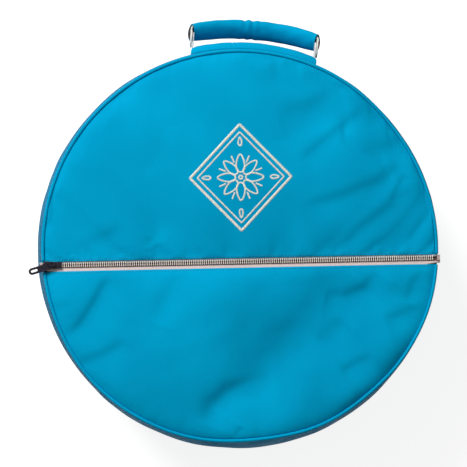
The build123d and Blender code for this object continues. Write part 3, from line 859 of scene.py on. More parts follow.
def front_height(x, y):
    """Top of the upper front panel."""
    rim = max(0.0, PANEL_RADIUS - hypot(x, y))
    hem = max(0.0, y - HEM)
    height = FRONT - SEAM_DROP * exp(-rim / (5 * MM))
    height += FRONT_CROWN * pillow(rim, 45 * MM) * pillow(hem, 50 * MM) + front_relief(x, y)
    height += 0.9 * MM * rumple(x, y, 0.085, 3.1) * pillow(rim, 30 * MM) * pillow(hem, 20 * MM)
    for chain, width, depth, back in FRONT_FOLDS:
        height += drop(x, y, chain, width, depth, back) * pillow(rim, 6 * MM) * pillow(hem, 6 * MM)
    bearing = atan2(y, x)
    height -= ticks(bearing * PANEL_RADIUS, rim, pitch=16 * MM, reach=14 * MM, depth=0.8 * MM,
                    seed=1.7)
    return height


def closed_cover(name, grid, top, bottom, shape=ease_out):
    """A closed form over a grid of (x, y): a modelled top, a plain underside, and its rim."""
    columns = len(grid)
    rows = len(grid[0])

    def place(i, j):
        row = j % (2 * rows)
        x, y = grid[i][row if row < rows else 2 * rows - 1 - row]
        height = top(x, y) if row < rows else bottom(x, y)
        return (*shape(x, y), height)

    def unroll(i, j):
        row = j % (2 * rows)
        return grid[i][row if row < rows else 2 * rows - 1 - row]

    piece = skin(name, columns, 2 * rows, place, unroll, round_columns=True)
    return close_up(piece)


COLUMNS, ROWS = ((330, 170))
front_grid = segment_grid(PANEL_RADIUS, HEM, COLUMNS, ROWS, upper=True)
front_cover = closed_cover("front_cover", front_grid, front_height, lambda x, y: PAD_LOW)
dress(front_cover, SHELL, "lid", "turquoise_fabric", "front_panel", "front_pad")

# %% [markdown]
# ## The pocket panel
#
# The pocket's cloth has no padding, so it sags and folds: one broad S-shaped fold from upper
# right to lower left, shorter creases that fall away from the zip, and soft swells between them.
# It is one sheet, cut to a segment of a disc and sewn in round the rim. Deep folds could sink
# below the pocket's lining, so the height is eased off before it gets there.

# %% Pocket cover
POCKET_FLOOR = high("pocket_lining", Z)
POCKET_FOLDS = (
    (((0.111, -0.022), (0.094, -0.047), (0.068, -0.080), (0.034, -0.114),
     (-0.004, -0.146), (-0.040, -0.175), (-0.061, -0.207)), 33 * MM, 10.0 * MM, 1.8),
    (((0.036, -0.149), (0.003, -0.157), (-0.021, -0.165), (-0.040, -0.181),
     (-0.051, -0.203)), 13 * MM, 7.0 * MM, 2.4),
    (((-0.151, -0.022), (-0.162, -0.040), (-0.175, -0.063), (-0.189, -0.084),
     (-0.204, -0.100)), 7 * MM, 4.0 * MM, 4.0),
    (((-0.062, -0.021), (-0.081, -0.035), (-0.096, -0.058),
     (-0.108, -0.083)), 12 * MM, 2.8 * MM, 3.0),
    (((0.156, -0.030), (0.143, -0.048), (0.120, -0.057), (0.099, -0.054)), 9 * MM, 4.6 * MM, 3.0),
    (((0.119, -0.085), (0.102, -0.097), (0.088, -0.113)), 11 * MM, 4.4 * MM, 3.0),
    (((0.210, -0.031), (0.198, -0.045), (0.190, -0.068)), 8 * MM, 3.6 * MM, 3.0),
    (((0.221, -0.064), (0.192, -0.077), (0.166, -0.086)), 9 * MM, 3.0 * MM, 3.0),
    (((-0.136, -0.104), (-0.162, -0.119), (-0.190, -0.128)), 8 * MM, 2.6 * MM, 3.0),
    (((0.151, -0.128), (0.130, -0.137), (0.113, -0.148)), 8 * MM, 2.8 * MM, 3.0),
    (((-0.156, -0.152), (-0.163, -0.159), (-0.168, -0.168)), 4 * MM, 2.0 * MM, 3.0),
    (((-0.004, -0.209), (-0.008, -0.216), (-0.013, -0.223)), 3.5 * MM, 2.0 * MM, 3.0),
)
# Each swell is (x, y, its size, and its rise in mm).
POCKET_SWELLS = (
    (-0.079, -0.092, 0.082, 7.0),
    (-0.007, -0.055, 0.040, 4.4),
    (-0.007, -0.190, 0.028, 4.6),
    (0.174, -0.129, 0.028, 5.2),
    (0.130, -0.184, 0.026, 5.0),
    (-0.205, -0.058, 0.023, 3.2),
    (0.174, -0.044, 0.014, 2.6),
    (0.065, -0.180, 0.042, 2.4),
    (-0.140, -0.169, 0.047, 3.0),
)
POCKET_CROWN = 3.2 * MM
# The cloth stays about this far above the lining, and is eased off over the second length.
POCKET_AIR = 0.8 * MM
POCKET_EASE = 1.5 * MM
pocket_relief = hung_relief("pocket_hanging", POCKET_EDGE, upper=False, slack=0.02, pressure=0.15,
                            bending=2.0, cap=4 * MM, seed=6.1)


def pocket_height(x, y):
    """Top of the pocket panel."""
    rim = max(0.0, PANEL_RADIUS - hypot(x, y))
    hem = max(0.0, POCKET_EDGE - y)
    free = pillow(rim, 11 * MM) * pillow(hem, 9 * MM)
    height = FRONT - SEAM_DROP * exp(-rim / (5 * MM))
    shape = 0.0
    for chain, width, depth, back in POCKET_FOLDS:
        shape += drop(x, y, chain, width, depth, back)
    for px, py, size, rise in POCKET_SWELLS:
        shape += rise * MM * exp(-((x - px) ** 2 + (y - py) ** 2) / size ** 2)
    shape += 1.2 * MM * rumple(x, y, 0.05, 8.2) + 0.5 * MM * rumple(x, y, 0.022, 2.9)
    height += (shape + POCKET_CROWN) * free + pocket_relief(x, y)
    bearing = atan2(y, x)
    height -= ticks(bearing * PANEL_RADIUS, rim, pitch=13 * MM, reach=16 * MM, depth=1.4 * MM,
                    seed=4.4)
    height -= ticks(x, hem, pitch=17 * MM, reach=12 * MM, depth=1.0 * MM, seed=7.9)
    least = POCKET_FLOOR + FABRIC + POCKET_AIR
    return least + POCKET_EASE * log(1 + exp((height - least) / POCKET_EASE))


pocket_grid = segment_grid(PANEL_RADIUS, POCKET_EDGE, COLUMNS, ROWS, upper=False)
pocket_cover = closed_cover("pocket_cover", pocket_grid, pocket_height,
                            lambda x, y: pocket_height(x, y) - FABRIC)
dress(pocket_cover, SHELL, "lid", "turquoise_fabric", "pocket_panel")

# %% [markdown]
# ## The side walls
#
# Each half has a padded wall: cloth outside, painted darker than the panels as painted shade, and
# foam behind it. Foam keeps it round, but the cloth gathers in ticks along the piping, and buckles
# softly in between. Cloth and foam could be two rings, but they move as one, so one closed ring
# holds both: the profile goes up the cloth, steps in where the foam ends beside the zip, and comes
# back down the inside.

# %% Padded walls
HANDLE_AT = Vector(JOINTS["handle_swing"]["pos_m"])
HANDLE_BEARING = atan2(HANDLE_AT.y, HANDLE_AT.x)
HANDLE_HEIGHT = HANDLE_AT.z
PATCH_HALF_HEIGHT = (high("handle_patch", Z) - low("handle_patch", Z)) / 2
WALL_SPANS = 900
FRONT_SEAM = high("front_side_band", Z)
BACK_SEAM = low("back_side_band", Z)
FRONT_WALL_SEED = 2.3
BACK_WALL_SEED = 5.9
# Half of the stretch of wall that the patch holds flat: along the wall, and past its edges.
CALM_HALF_WIDTH = 85 * MM
CALM_MARGIN = 6 * MM
# Soft buckles all over a wall: how many to a radian, how tall, and how far they stand out.
BUCKLES = 6
BUCKLE_TALL = 0.03
BUCKLE_RISE = 1.1 * MM


def calm_by_patch(bearing, height):
    """0 under the handle's patch, where the wall is held flat, and 1 away from it."""
    across = (bearing - HANDLE_BEARING + pi) % (2 * pi) - pi
    side = abs(across) * BELLY / CALM_HALF_WIDTH
    rise = abs(height - HANDLE_HEIGHT) / (PATCH_HALF_HEIGHT + CALM_MARGIN)
    return min(1.0, max(0.0, max(side, rise) - 1.0) * 4)


def wall_cloth(bearing, height, seam, seed):
    """How far the cloth of the wall stands out of its plain barrel."""
    run = bearing * BELLY
    ring = Vector((cos(bearing) * BUCKLES, sin(bearing) * BUCKLES, height / BUCKLE_TALL + seed))
    broad = noise.noise(ring) * BUCKLE_RISE
    from_seam = abs(height - seam)
    at_zip = min(1.0, min(abs(height - BACK_EDGE), abs(height - FRONT_EDGE)) / (12 * MM))
    fine = ticks(run, from_seam, pitch=9 * MM, reach=22 * MM, depth=3.2 * MM, seed=seed)
    fine *= min(1.0, from_seam / (7 * MM))
    loose = broad * min(1.0, from_seam / (10 * MM)) - fine
    return loose * at_zip * calm_by_patch(bearing, height)


def ring_piece(name, profile, spans, start=0.0, sweep=2 * pi):
    """A solid of revolution whose profile may change with the bearing."""
    closed = sweep > 2 * pi - 1e-6
    count = spans if closed else spans + 1
    rows = [profile(start + sweep * k / spans) for k in range(count)]
    lengths = run_lengths(rows[0] + rows[0][:1])

    def place(i, j):
        bearing = start + sweep * i / spans
        radius, height = rows[i][j]
        return (radius * cos(bearing), radius * sin(bearing), height)

    def unroll(i, j):
        return (sweep * i / spans * BELLY, lengths[j])

    piece = skin(name, count, len(rows[0]), place, unroll, round_rows=closed, round_columns=True)
    return close_up(piece) if closed else cap_ends(piece)


def wall_profile(low_edge, high_edge, foam_low, foam_high, seam, seed):
    """Profile of a padded wall as a function of the bearing."""
    steps = max(8, ceil((high_edge - low_edge) / (3 * MM)))
    heights = [low_edge + (high_edge - low_edge) * k / steps for k in range(steps + 1)]

    def profile(bearing):
        outer = [(wall(z) + wall_cloth(bearing, z, seam, seed) + front_swell(bearing, z), z)
                 for z in heights]
        inner = [(wall(z, FABRIC) + front_swell(bearing, z), z) for z in (high_edge, foam_high)]
        middle = (foam_low + foam_high) / 2
        inner += [(wall(z, FOAM_BACK), z) for z in (foam_high, middle, foam_low)]
        inner += [(wall(z, FABRIC), z) for z in (foam_low, low_edge)]
        return outer + inner

    return profile


def padded_wall(name, band, foam, seam, seed, body):
    profile = wall_profile(low(band, Z), high(band, Z), low(foam, Z), high(foam, Z), seam, seed)
    piece = ring_piece(name, profile, WALL_SPANS)
    # The wall's cloth carries painted shade: it is the shell's cloth painted darker.
    dress(piece, WALL_CLOTH_PAINTED_SHADE, body, "turquoise_fabric", band, foam)


padded_wall("front_wall", "front_side_band", "front_side_foam",
            FRONT_SEAM, FRONT_WALL_SEED, "lid")
padded_wall("back_wall", "back_side_band", "back_side_foam",
            BACK_SEAM, BACK_WALL_SEED, "back_shell")

# %% [markdown]
# ## Piping
#
# A cord in a fold of shell cloth runs round both panels and hides the seam. The cloth over it
# is cut on the bias, so it shows small slanting puckers. At the front it stops at the pocket
# zip on both sides and starts again, so that ring is two arcs. A curve with a round bevel would
# give the same cord, but without the puckers and without a map for the weave.

# %% Piping cords
def piping_point(bearing, turn, height, seed):
    pucker = 0.12 * MM * noise.noise(Vector((bearing * 70 + turn * 1.4, seed, 0)))
    radius = PIPING_RADIUS + pucker
    ring = PIPING_RING + radius * cos(turn) + front_swell(bearing, height)
    return (ring * cos(bearing), ring * sin(bearing), height + radius * sin(turn))


def piping_arc(name, height, start, sweep, seed, sides=12):
    spans = max(8, int(sweep * PIPING_RING / (2.2 * MM)))
    closed = sweep > 2 * pi - 1e-6
    count = spans if closed else spans + 1

    def place(i, j):
        return piping_point(start + sweep * i / spans, 2 * pi * j / sides, height, seed)

    def unroll(i, j):
        return (sweep * i / spans * PIPING_RING, 2 * pi * j / sides * PIPING_RADIUS)

    piece = skin(name, count, sides, place, unroll, round_rows=closed, round_columns=True)
    return close_up(piece) if closed else cap_ends(piece)


def join(name, pieces):
    """One mesh from several, with their cloth maps kept."""
    work = bmesh.new()
    for piece in pieces:
        work.from_mesh(piece.data)
    mesh = bpy.data.meshes.new(name)
    work.to_mesh(mesh)
    work.free()
    for piece in pieces:
        bpy.data.objects.remove(piece)
    mesh.shade_smooth()
    return new_object(name, mesh)


NOTCH_GAP = 0.5 * MM
NOTCH_HIGH = asin((HEM + NOTCH_GAP) / PIPING_RING)
NOTCH_LOW = asin((POCKET_EDGE - NOTCH_GAP) / PIPING_RING)
upper_arc = piping_arc("upper_arc", FRONT - PIPING_RADIUS, NOTCH_HIGH, pi - 2 * NOTCH_HIGH, 2.0)
lower_arc = piping_arc("lower_arc", FRONT - PIPING_RADIUS, pi - NOTCH_LOW, pi + 2 * NOTCH_LOW, 3.0)
front_cord = join("front_piping_cord", [upper_arc, lower_arc])
back_cord = piping_arc("back_piping_cord", PIPING_RADIUS, 0.0, 2 * pi, 4.0)
dress(front_cord, SHELL, "lid", "turquoise_fabric", "front_piping")
dress(back_cord, SHELL, "back_shell", "turquoise_fabric", "back_piping")

# %% [markdown]
# ## The back panel
#
# The back is a plain round sheet that the case lies on, so it only sags by a fraction of a
# millimetre. A cylinder would do, but rings of quads give it a map for the weave.

# %% Back panel
def disc_piece(name, radius, top, bottom, rings=60, spans=240):
    """A closed round form: both faces are modelled by functions of x and y."""
    def place(i, j):
        row = j if j < rings else 2 * rings - 1 - j
        reach = radius * row / (rings - 1)
        bearing = 2 * pi * i / spans
        x, y = reach * cos(bearing), reach * sin(bearing)
        return (x, y, top(x, y) if j < rings else bottom(x, y))

    def unroll(i, j):
        return place(i, j)[:2]

    return close_up(skin(name, spans, 2 * rings, place, unroll, round_rows=True))


def back_top(x, y):
    return FABRIC + back_bottom(x, y)


def back_bottom(x, y):
    rim = PANEL_RADIUS - hypot(x, y)
    return 0.2 * MM * abs(rumple(x, y, 0.06, 6.6)) * pillow(rim, 20 * MM)


back_cover = disc_piece("back_cover", PANEL_RADIUS, back_top, back_bottom)
dress(back_cover, SHELL, "back_shell", "turquoise_fabric", "back_panel")

# %% [markdown]
# ## Quilted linings
#
# Inside, both panels and both walls wear a black lining that is quilted to the foam in diamonds:
# stitched valleys with soft pads between them. A bump in the finish would look alike from afar,
# but the pads are real relief in the mesh.

# %% Quilted panels
QUILT = 42 * MM
QUILT_RISE = 1.6 * MM


def quilt(u, v):
    """Relief of diamond quilting: 0 in the stitched valleys, up to 1 between them."""
    first = abs(sin(pi * (u + v) / QUILT))
    second = abs(sin(pi * (u - v) / QUILT))
    return sqrt(first * second)


def quilted_disc(name, foam, lining, sign, body):
    """Foam and lining of a panel. sign is the way that the quilted face looks."""
    radius = high(lining, X)
    faces = sorted((low(foam, Z), high(foam, Z), low(lining, Z), high(lining, Z)))
    plain = faces[0] if sign > 0 else faces[-1]
    seen = faces[-1] if sign > 0 else faces[0]

    def quilted(x, y):
        rim = max(0.0, radius - hypot(x, y))
        soft = quilt(x, y) * pillow(rim, 8 * MM)
        return seen - sign * QUILT_RISE * (1 - soft)

    def flat(x, y):
        return plain

    top, bottom = (quilted, flat) if sign > 0 else (flat, quilted)
    piece = disc_piece(name, radius, top, bottom, rings=110, spans=300)
    dress(piece, LINING, body, "black_lining", foam, lining)


quilted_disc("back_quilt", "back_foam", "back_lining", 1, "back_shell")
quilted_disc("front_quilt", "front_foam", "front_lining", -1, "lid")

# %% [markdown]
# The walls wear the same quilting, bent round. Its diamonds are measured along the wall and up
# it, so they keep the size that they have on the panels.

# %% Quilted wall linings
RING_SPANS = 420


def wall_quilt(name, node, body):
    low_edge, high_edge = low(node, Z), high(node, Z)
    steps = max(6, ceil((high_edge - low_edge) / (4 * MM)))
    heights = [low_edge + (high_edge - low_edge) * k / steps for k in range(steps + 1)]

    def profile(bearing):
        outer = [(wall(z, LINING_DEPTH), z) for z in heights]
        inner = []
        for z in reversed(heights):
            edge = min(z - low_edge, high_edge - z)
            soft = quilt(bearing * BELLY, z) * pillow(edge, 6 * MM)
            pad = QUILT_RISE * 0.6 * soft
            inner.append((wall(z, LINING_DEPTH + LINING_THICKNESS + pad), z))
        return outer + inner

    piece = ring_piece(name, profile, RING_SPANS)
    dress(piece, LINING, body, "black_lining", node)


wall_quilt("front_wall_quilt", "front_side_lining", "lid")
wall_quilt("back_wall_quilt", "back_side_lining", "back_shell")

# %% [markdown]
# Where panel and wall meet inside, a folded tape covers the raw seam. It is a flat band with
# rounded edges, drawn as one profile that goes all the way round, a little uneven as sewn.

# %% Seam bindings
BINDING_HALF = 0.55 * MM


def binding(name, node, body):
    """The tape that is folded over the raw seam inside: a flat band with rounded edges."""
    low_edge, high_edge = low(node, Z), high(node, Z)
    middle = (low_edge + high_edge) / 2
    depth = LINING_DEPTH + LINING_THICKNESS + LAYER_GAP + 0.9 * MM
    half = (high_edge - low_edge) / 2

    def profile(bearing):
        ring = []
        for k in range(12):
            turn = 2 * pi * k / 12
            z = middle + half * max(-1.0, min(1.0, 1.15 * sin(turn)))
            wave = 0.15 * MM * noise.noise(Vector((bearing * 60, k, 1.3)))
            ring.append((wall(z, depth) + (BINDING_HALF + wave) * cos(turn), z))
        return ring

    dress(ring_piece(name, profile, RING_SPANS), BINDING, body, "binding_tape", node)


binding("front_binding", "front_seam_binding", "lid")
binding("back_binding", "back_seam_binding", "back_shell")

# %% [markdown]
# ## The pocket's lining
#
# Behind the pocket's cloth lies a thin black sheet that is sewn to the front padding. Only an
# open pocket would show it. It is made like the pocket's cover, from the same kind of grid, so
# that both have the same cut.

# %% Pocket lining
lining_edge = high("pocket_lining", Y)
lining_radius = PANEL_RADIUS - LAYER_GAP
POCKET_LINING = high("pocket_lining", Z) - low("pocket_lining", Z)


def lining_top(x, y):
    rim = max(0.0, lining_radius - hypot(x, y))
    return POCKET_FLOOR - 0.3 * MM + 0.3 * MM * rumple(x, y, 0.04, 9.1) * pillow(rim, 20 * MM)


lining_grid = segment_grid(lining_radius, lining_edge, columns=120, rows=60, upper=False)
pocket_lining = closed_cover("pocket_lining_sheet", lining_grid, lining_top,
                             lambda x, y: lining_top(x, y) - POCKET_LINING,
                             lambda x, y: (x, y))
dress(pocket_lining, LINING, "lid", "black_lining", "pocket_lining")

# %% [markdown]
# ## The pocket zip
#
# A grey and a cream tape carry two rows of teeth that mesh half a pitch out of step. The tapes
# are bare between the hem and the pocket's edge, and their ends stick out over the rim and curl
# down. Each tape could be a thin box, but as a grid with its width as v it bends at its ends,
# and its guide line and herringbone run along it.

# %% Pocket zip tapes
TAPE_TOP = high("pocket_tape_upper", Z)
TAPE = TAPE_TOP - low("pocket_tape_upper", Z)
CHAIN_HALF = high("pocket_teeth_upper", X)
TAPE_HALF = high("pocket_tape_upper", X)


def tape_curl(x):
    """How far the free end of the tape hangs down."""
    past = max(0.0, abs(x) - CHAIN_HALF - 0.5 * MM)
    return 60 * past ** 2


def pocket_tape(name, node, inner, edge, sewn, finish):
    """A tape from its inner edge beside the teeth to its sewn edge under the cloth."""
    side = 1 if sewn > inner else -1
    widths = [abs(sewn - inner) * k / 8 for k in range(9)]
    bare = abs(edge - inner)
    spans = 240

    def place(i, j):
        x = TAPE_HALF * (2 * i / spans - 1)
        width = widths[j]
        reach = sqrt(PANEL_RADIUS ** 2 - (inner + side * width) ** 2) - 4 * MM
        if width > bare:
            x = max(-reach, min(reach, x))
        wave = 0.12 * MM * rumple(x, width, 0.03, 1.1)
        return (x, inner + side * width, TAPE_TOP - tape_curl(x) + wave - 0.1 * MM)

    def unroll(i, j):
        return (TAPE_HALF * 2 * i / spans, widths[j])

    piece = skin(name, spans + 1, 9, place, unroll)
    if side > 0:
        piece.data.flip_normals()
    dress(thicken(piece, TAPE), finish, "lid", "zip_tape", node)


pocket_tape("pocket_zip_tape_upper", "pocket_tape_upper", low("pocket_tape_upper", Y),
            HEM, high("pocket_tape_upper", Y), GREY_TAPE)
pocket_tape("pocket_zip_tape_lower", "pocket_tape_lower", high("pocket_tape_lower", Y),
            POCKET_EDGE, low("pocket_tape_lower", Y), CREAM_TAPE)

# %% [markdown]
# The teeth are laid along two straight chains. Heads of the upper row point down and heads of
# the lower row up, and a chain's direction decides which, so one of them runs from right to left.

# %% Pocket zip teeth
PITCH = 2.48 * MM
TOOTH_SINK = -0.05 * MM
ROW_MARGIN = 0.8 * MM


def straight_row(node, heads_down):
    """The path of a row of teeth. Its direction sets which way the heads point."""
    lean = -TOOTH_REACH / 2 if heads_down else TOOTH_REACH / 2
    y = (low(node, Y) + high(node, Y)) / 2 + lean
    first, last = low(node, X) + ROW_MARGIN, high(node, X) - ROW_MARGIN
    if heads_down:
        first, last = last, first
    count = 120
    chain = [Vector((first + (last - first) * k / count, y, TAPE_TOP)) for k in range(count + 1)]
    return (chain, [Vector((0, 0, 1))] * len(chain), False)


for name, node, heads_down in (("pocket_zip_teeth_upper", "pocket_teeth_upper", True),
                               ("pocket_zip_teeth_lower", "pocket_teeth_lower", False)):
    teeth = lay_along(name, [straight_row(node, heads_down)], ZIP_TOOTH, PITCH, TEETH,
                      lift=TOOTH_SINK)
    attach(teeth, "lid")
    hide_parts(node)

# %% [markdown]
# ## The main zip
#
# The same teeth and the same kind of tape run round the side wall, except for the stretch at
# the bottom where plain cloth hinges the lid. The back row belongs to the case's back and the
# front row to the lid, so they are separate pieces and part cleanly when the lid opens.

# %% Main zip
HINGE_HALF = pi / 2 - asin(-low("main_teeth_back", Y) / wall(ZIP_HEIGHT, -0.6 * MM))
ZIP_START = -pi / 2 + HINGE_HALF
ZIP_SWEEP = 2 * pi - 2 * HINGE_HALF
TAPE_DEPTH = FABRIC + LAYER_GAP
print(f"the lid hinges on {degrees(2 * HINGE_HALF):.1f} degrees of the wall")


def side_tape(name, node, body):
    low_edge, high_edge = low(node, Z), high(node, Z)
    heights = [low_edge + (high_edge - low_edge) * k / 6 for k in range(7)]

    def profile(bearing):
        outer = [(wall(z, TAPE_DEPTH), z) for z in heights]
        return outer + [(wall(z, TAPE_DEPTH + TAPE), z) for z in reversed(heights)]

    piece = ring_piece(name, profile, RING_SPANS, ZIP_START, ZIP_SWEEP)
    dress(piece, SIDE_TAPE, body, "zip_tape", node)


def side_teeth(name, node, body, heads_up):
    height = (low(node, Z) + high(node, Z)) / 2
    count = 400
    bearings = [ZIP_START + ZIP_SWEEP * k / count for k in range(count + 1)]
    if not heads_up:
        bearings.reverse()
    chain = [on_wall(b, height, TAPE_DEPTH) for b in bearings]
    outs = [off_wall(b, height) for b in bearings]
    piece = lay_along(name, [(chain, outs, False)], ZIP_TOOTH, PITCH, TEETH, lift=TOOTH_SINK)
    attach(piece, body)
    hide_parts(node)


side_tape("main_zip_tape_back", "main_tape_back", "back_shell")
side_tape("main_zip_tape_front", "main_tape_front", "lid")
side_teeth("main_zip_teeth_back", "main_teeth_back", "back_shell", True)
side_teeth("main_zip_teeth_front", "main_teeth_front", "lid", False)

# %% [markdown]
# The hinge is the same cloth as the walls, sewn to both halves. It crosses the joint, so it is
# one strip, with enough rows to bend smoothly, and it is attached to neither body. Two rigid
# strips would tear apart as the lid opens. The ends of the zip are closed by two small tabs.

# %% Hinge strip and end tabs
TAB_SWEEP = radians(3.0)
TAB_SHARE = 0.97
HINGE_LAP = 1 * MM


def hinge_cloth(bearing, height):
    edge = min(height - BACK_EDGE, FRONT_EDGE - height) / (8 * MM)
    return 0.5 * MM * rumple(bearing * BELLY, height, 0.02, 7.7) * max(0.0, min(1.0, edge))


def hinge_profile(bearing):
    tall = FRONT_EDGE - BACK_EDGE + 2 * HINGE_LAP
    heights = [BACK_EDGE - HINGE_LAP + tall * k / 16 for k in range(17)]
    outer = [(wall(z, 0.3 * MM) + hinge_cloth(bearing, z), z) for z in heights]
    return outer + [(wall(z, FABRIC + 0.3 * MM), z) for z in reversed(heights)]


hinge_strip = ring_piece("hinge_cloth", hinge_profile, 120, ZIP_START - 2 * HINGE_HALF + TAB_SWEEP,
                         2 * (HINGE_HALF - TAB_SWEEP))
# The hinge wears the walls' darker copy of the shell cloth, which is painted shade.
hinge_strip.data.materials.append(WALL_CLOTH_PAINTED_SHADE)
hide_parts("hinge_strip_back", "hinge_strip_front")
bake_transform(hinge_strip)
report(hinge_strip)


def tab_profile(bearing):
    low_edge, high_edge = low("main_zip_end_tabs", Z), high("main_zip_end_tabs", Z)
    heights = [low_edge + (high_edge - low_edge) * k / 6 for k in range(7)]
    outer = [(wall(z, -0.3 * MM), z) for z in heights]
    return outer + [(wall(z, FABRIC), z) for z in reversed(heights)]


right_start = ZIP_START - TAB_SWEEP
left_start = ZIP_START + ZIP_SWEEP + TAB_SWEEP * (1 - TAB_SHARE)
end_tabs = join("main_zip_tabs", [
    ring_piece("tab_right", tab_profile, 12, right_start, TAB_SWEEP * TAB_SHARE),
    ring_piece("tab_left", tab_profile, 12, left_start, TAB_SWEEP * TAB_SHARE),
])
dress(end_tabs, SHELL, "back_shell", "turquoise_fabric", "main_zip_end_tabs")

# %% [markdown]
# ## The handle
#
# A webbing strap is sewn to a padded patch on the wall, runs out on both sides, and carries a
# foam grip in a sleeve of shell cloth. The handle's own plane hangs from the patch, so every
# point is given in that plane: along the chord, outwards, and across.

# %% The handle's own axes
CHORD = Vector(JOINTS["handle_swing"]["axis"]).normalized()
OUT = Vector((0, 0, 1)).cross(CHORD).normalized()
if OUT.y < 0:
    CHORD.negate()
    OUT.negate()


def from_pivot(node):
    """A node's points as (along the chord, away from the case, up), from the handle's pivot."""
    moved = [vertex.co - HANDLE_AT for vertex in frame["nodes"][node].data.vertices]
    return [(p.dot(CHORD), p.dot(OUT), p.z) for p in moved]


core_points = from_pivot("handle_grip_core")
DROOP = atan2(-sum(p[2] for p in core_points), sum(p[1] for p in core_points))
REACH = OUT * cos(DROOP) - Vector((0, 0, 1)) * sin(DROOP)
ACROSS = OUT * sin(DROOP) + Vector((0, 0, 1)) * cos(DROOP)


def in_plane(node):
    """A node's points along the three axes of the handle."""
    return [(x, out * cos(DROOP) - up * sin(DROOP), out * sin(DROOP) + up * cos(DROOP))
            for x, out, up in from_pivot(node)]


def on_handle(x, reach, across):
    return HANDLE_AT + CHORD * x + REACH * reach + ACROSS * across


STRAP = 1.8 * MM
strap_points = in_plane("handle_webbing")
LEG = max(p[0] for p in strap_points) - STRAP / 2
STRAP_HALF = max(p[2] for p in strap_points)
GRIP_MIDDLE = max(p[1] for p in strap_points) - STRAP / 2
GRIP_END = max(p[1] for p in strap_points if abs(p[0]) > LEG) - STRAP / 2
RISE = GRIP_MIDDLE - GRIP_END
GRIP_BEND = (LEG ** 2 + RISE ** 2) / (2 * RISE)
sleeve_points = in_plane("handle_grip_sleeve")
SLEEVE_HALF = max(p[0] for p in sleeve_points)
SLEEVE_WIDE = max(p[2] for p in sleeve_points)
SLEEVE_THICK = max(p[1] for p in sleeve_points) - GRIP_MIDDLE
print(f"grip hangs {degrees(DROOP):.1f} degrees below level, reaches {GRIP_MIDDLE / MM:.1f} mm")


def grip_line(turn):
    """Middle line of the grip by its arc's angle: a point, and the direction away from the case."""
    x, reach = GRIP_BEND * sin(turn), GRIP_MIDDLE - GRIP_BEND * (1 - cos(turn))
    return x, reach, sin(turn), cos(turn)


SLEEVE_TILT = radians(16)


def bar_along_grip(name, half, thick, wide, spans, sides, swell):
    """A closed tube skin along the grip. swell(run, turn) is how far its cloth stands out."""
    limit = asin(half / GRIP_BEND)

    def place(i, j):
        run = limit * (2 * i / (spans - 1) - 1)
        turn = 2 * pi * j / sides
        x, reach, side, away = grip_line(run)
        extra = swell(run * GRIP_BEND, turn)
        thin, broad = (thick + extra) * cos(turn), (wide + extra) * sin(turn)
        lift = thin * cos(SLEEVE_TILT) - broad * sin(SLEEVE_TILT)
        width = thin * sin(SLEEVE_TILT) + broad * cos(SLEEVE_TILT)
        return on_handle(x + side * lift, reach + away * lift, width)

    def unroll(i, j):
        return (2 * limit * GRIP_BEND * i / (spans - 1), j / sides * pi * (thick + wide))

    return skin(name, spans, sides, place, unroll, round_columns=True)


def sleeve_cloth(run, turn):
    """Puckers of the sleeve: it is drawn in at both ends and gathers beside the middle."""
    ends = (SLEEVE_HALF - abs(run)) / (7 * MM)
    drawn = -1.0 * MM * exp(-max(0.0, ends))
    beside_middle = exp(-((run + 6 * MM) / (11 * MM)) ** 2)
    gather = 1.1 * MM * beside_middle * sin(run / (1.7 * MM)) * abs(cos(turn / 2))
    loose = 0.5 * MM * noise.noise(Vector((run / 0.012, cos(turn) * 1.5, sin(turn) * 1.5)))
    seam = -0.5 * MM * exp(-((turn - 1.0) / 0.07) ** 2)
    return drawn + gather + loose + seam


sleeve = bar_along_grip("handle_sleeve", SLEEVE_HALF, SLEEVE_THICK + 0.4 * MM,
                        SLEEVE_WIDE + 1.8 * MM, spans=240, sides=48, swell=sleeve_cloth)
dress(thicken(sleeve, FABRIC), SHELL, "handle", "turquoise_fabric", "handle_grip_sleeve")

# %% [markdown]
# The foam inside the sleeve shows only at its two ends. It is the same bar, smaller by the
# cloth and a little air, with its ends closed.

# %% Grip core
SLEEVE_ROOM = 2.2 * MM
CORE_HALF = max(p[0] for p in in_plane("handle_grip_core"))
core = bar_along_grip("handle_core", CORE_HALF, SLEEVE_THICK - SLEEVE_ROOM,
                      SLEEVE_WIDE - SLEEVE_ROOM, spans=40, sides=32,
                      swell=lambda run, turn: 0.0)
dress(cap_ends(core), FOAM, "handle", "black_foam", "handle_grip_core")

# %% [markdown]
# One webbing strap carries the grip: it is rounded about the pivot at one root, runs out along
# the leg, bends into the grip, and comes back down the other side. It could be boxes end to
# end, but one ribbon along a line of points bends as webbing does, and its weave runs with it.

# %% Webbing strap
def strap_line():
    """The strap's middle line, root to root, as (x, reach, half width)."""
    limit = asin((LEG - 5 * MM) / GRIP_BEND)
    line = []
    for k in range(13):
        below = -STRAP_HALF * cos(pi / 2 * k / 12)
        line.append((-LEG, below, sqrt(max(0.0, STRAP_HALF ** 2 - below ** 2)) + 0.2 * MM))
    legs = 8
    for k in range(1, legs + 1):
        share = k / (legs + 1)
        bow = 0.7 * MM * sin(pi * share)
        line.append((-LEG - bow, (GRIP_END - 3 * MM) * share, STRAP_HALF))
    line.append((-LEG + 0.6 * MM, GRIP_END - 1.2 * MM, STRAP_HALF))
    line.append((-LEG + 2.2 * MM, GRIP_END + 0.6 * MM, STRAP_HALF))
    for k in range(41):
        line.append((*grip_line(limit * (k / 20 - 1))[:2], STRAP_HALF))
    first = line[:13 + legs + 2]
    return line + [(-x, reach, half) for x, reach, half in reversed(first)]


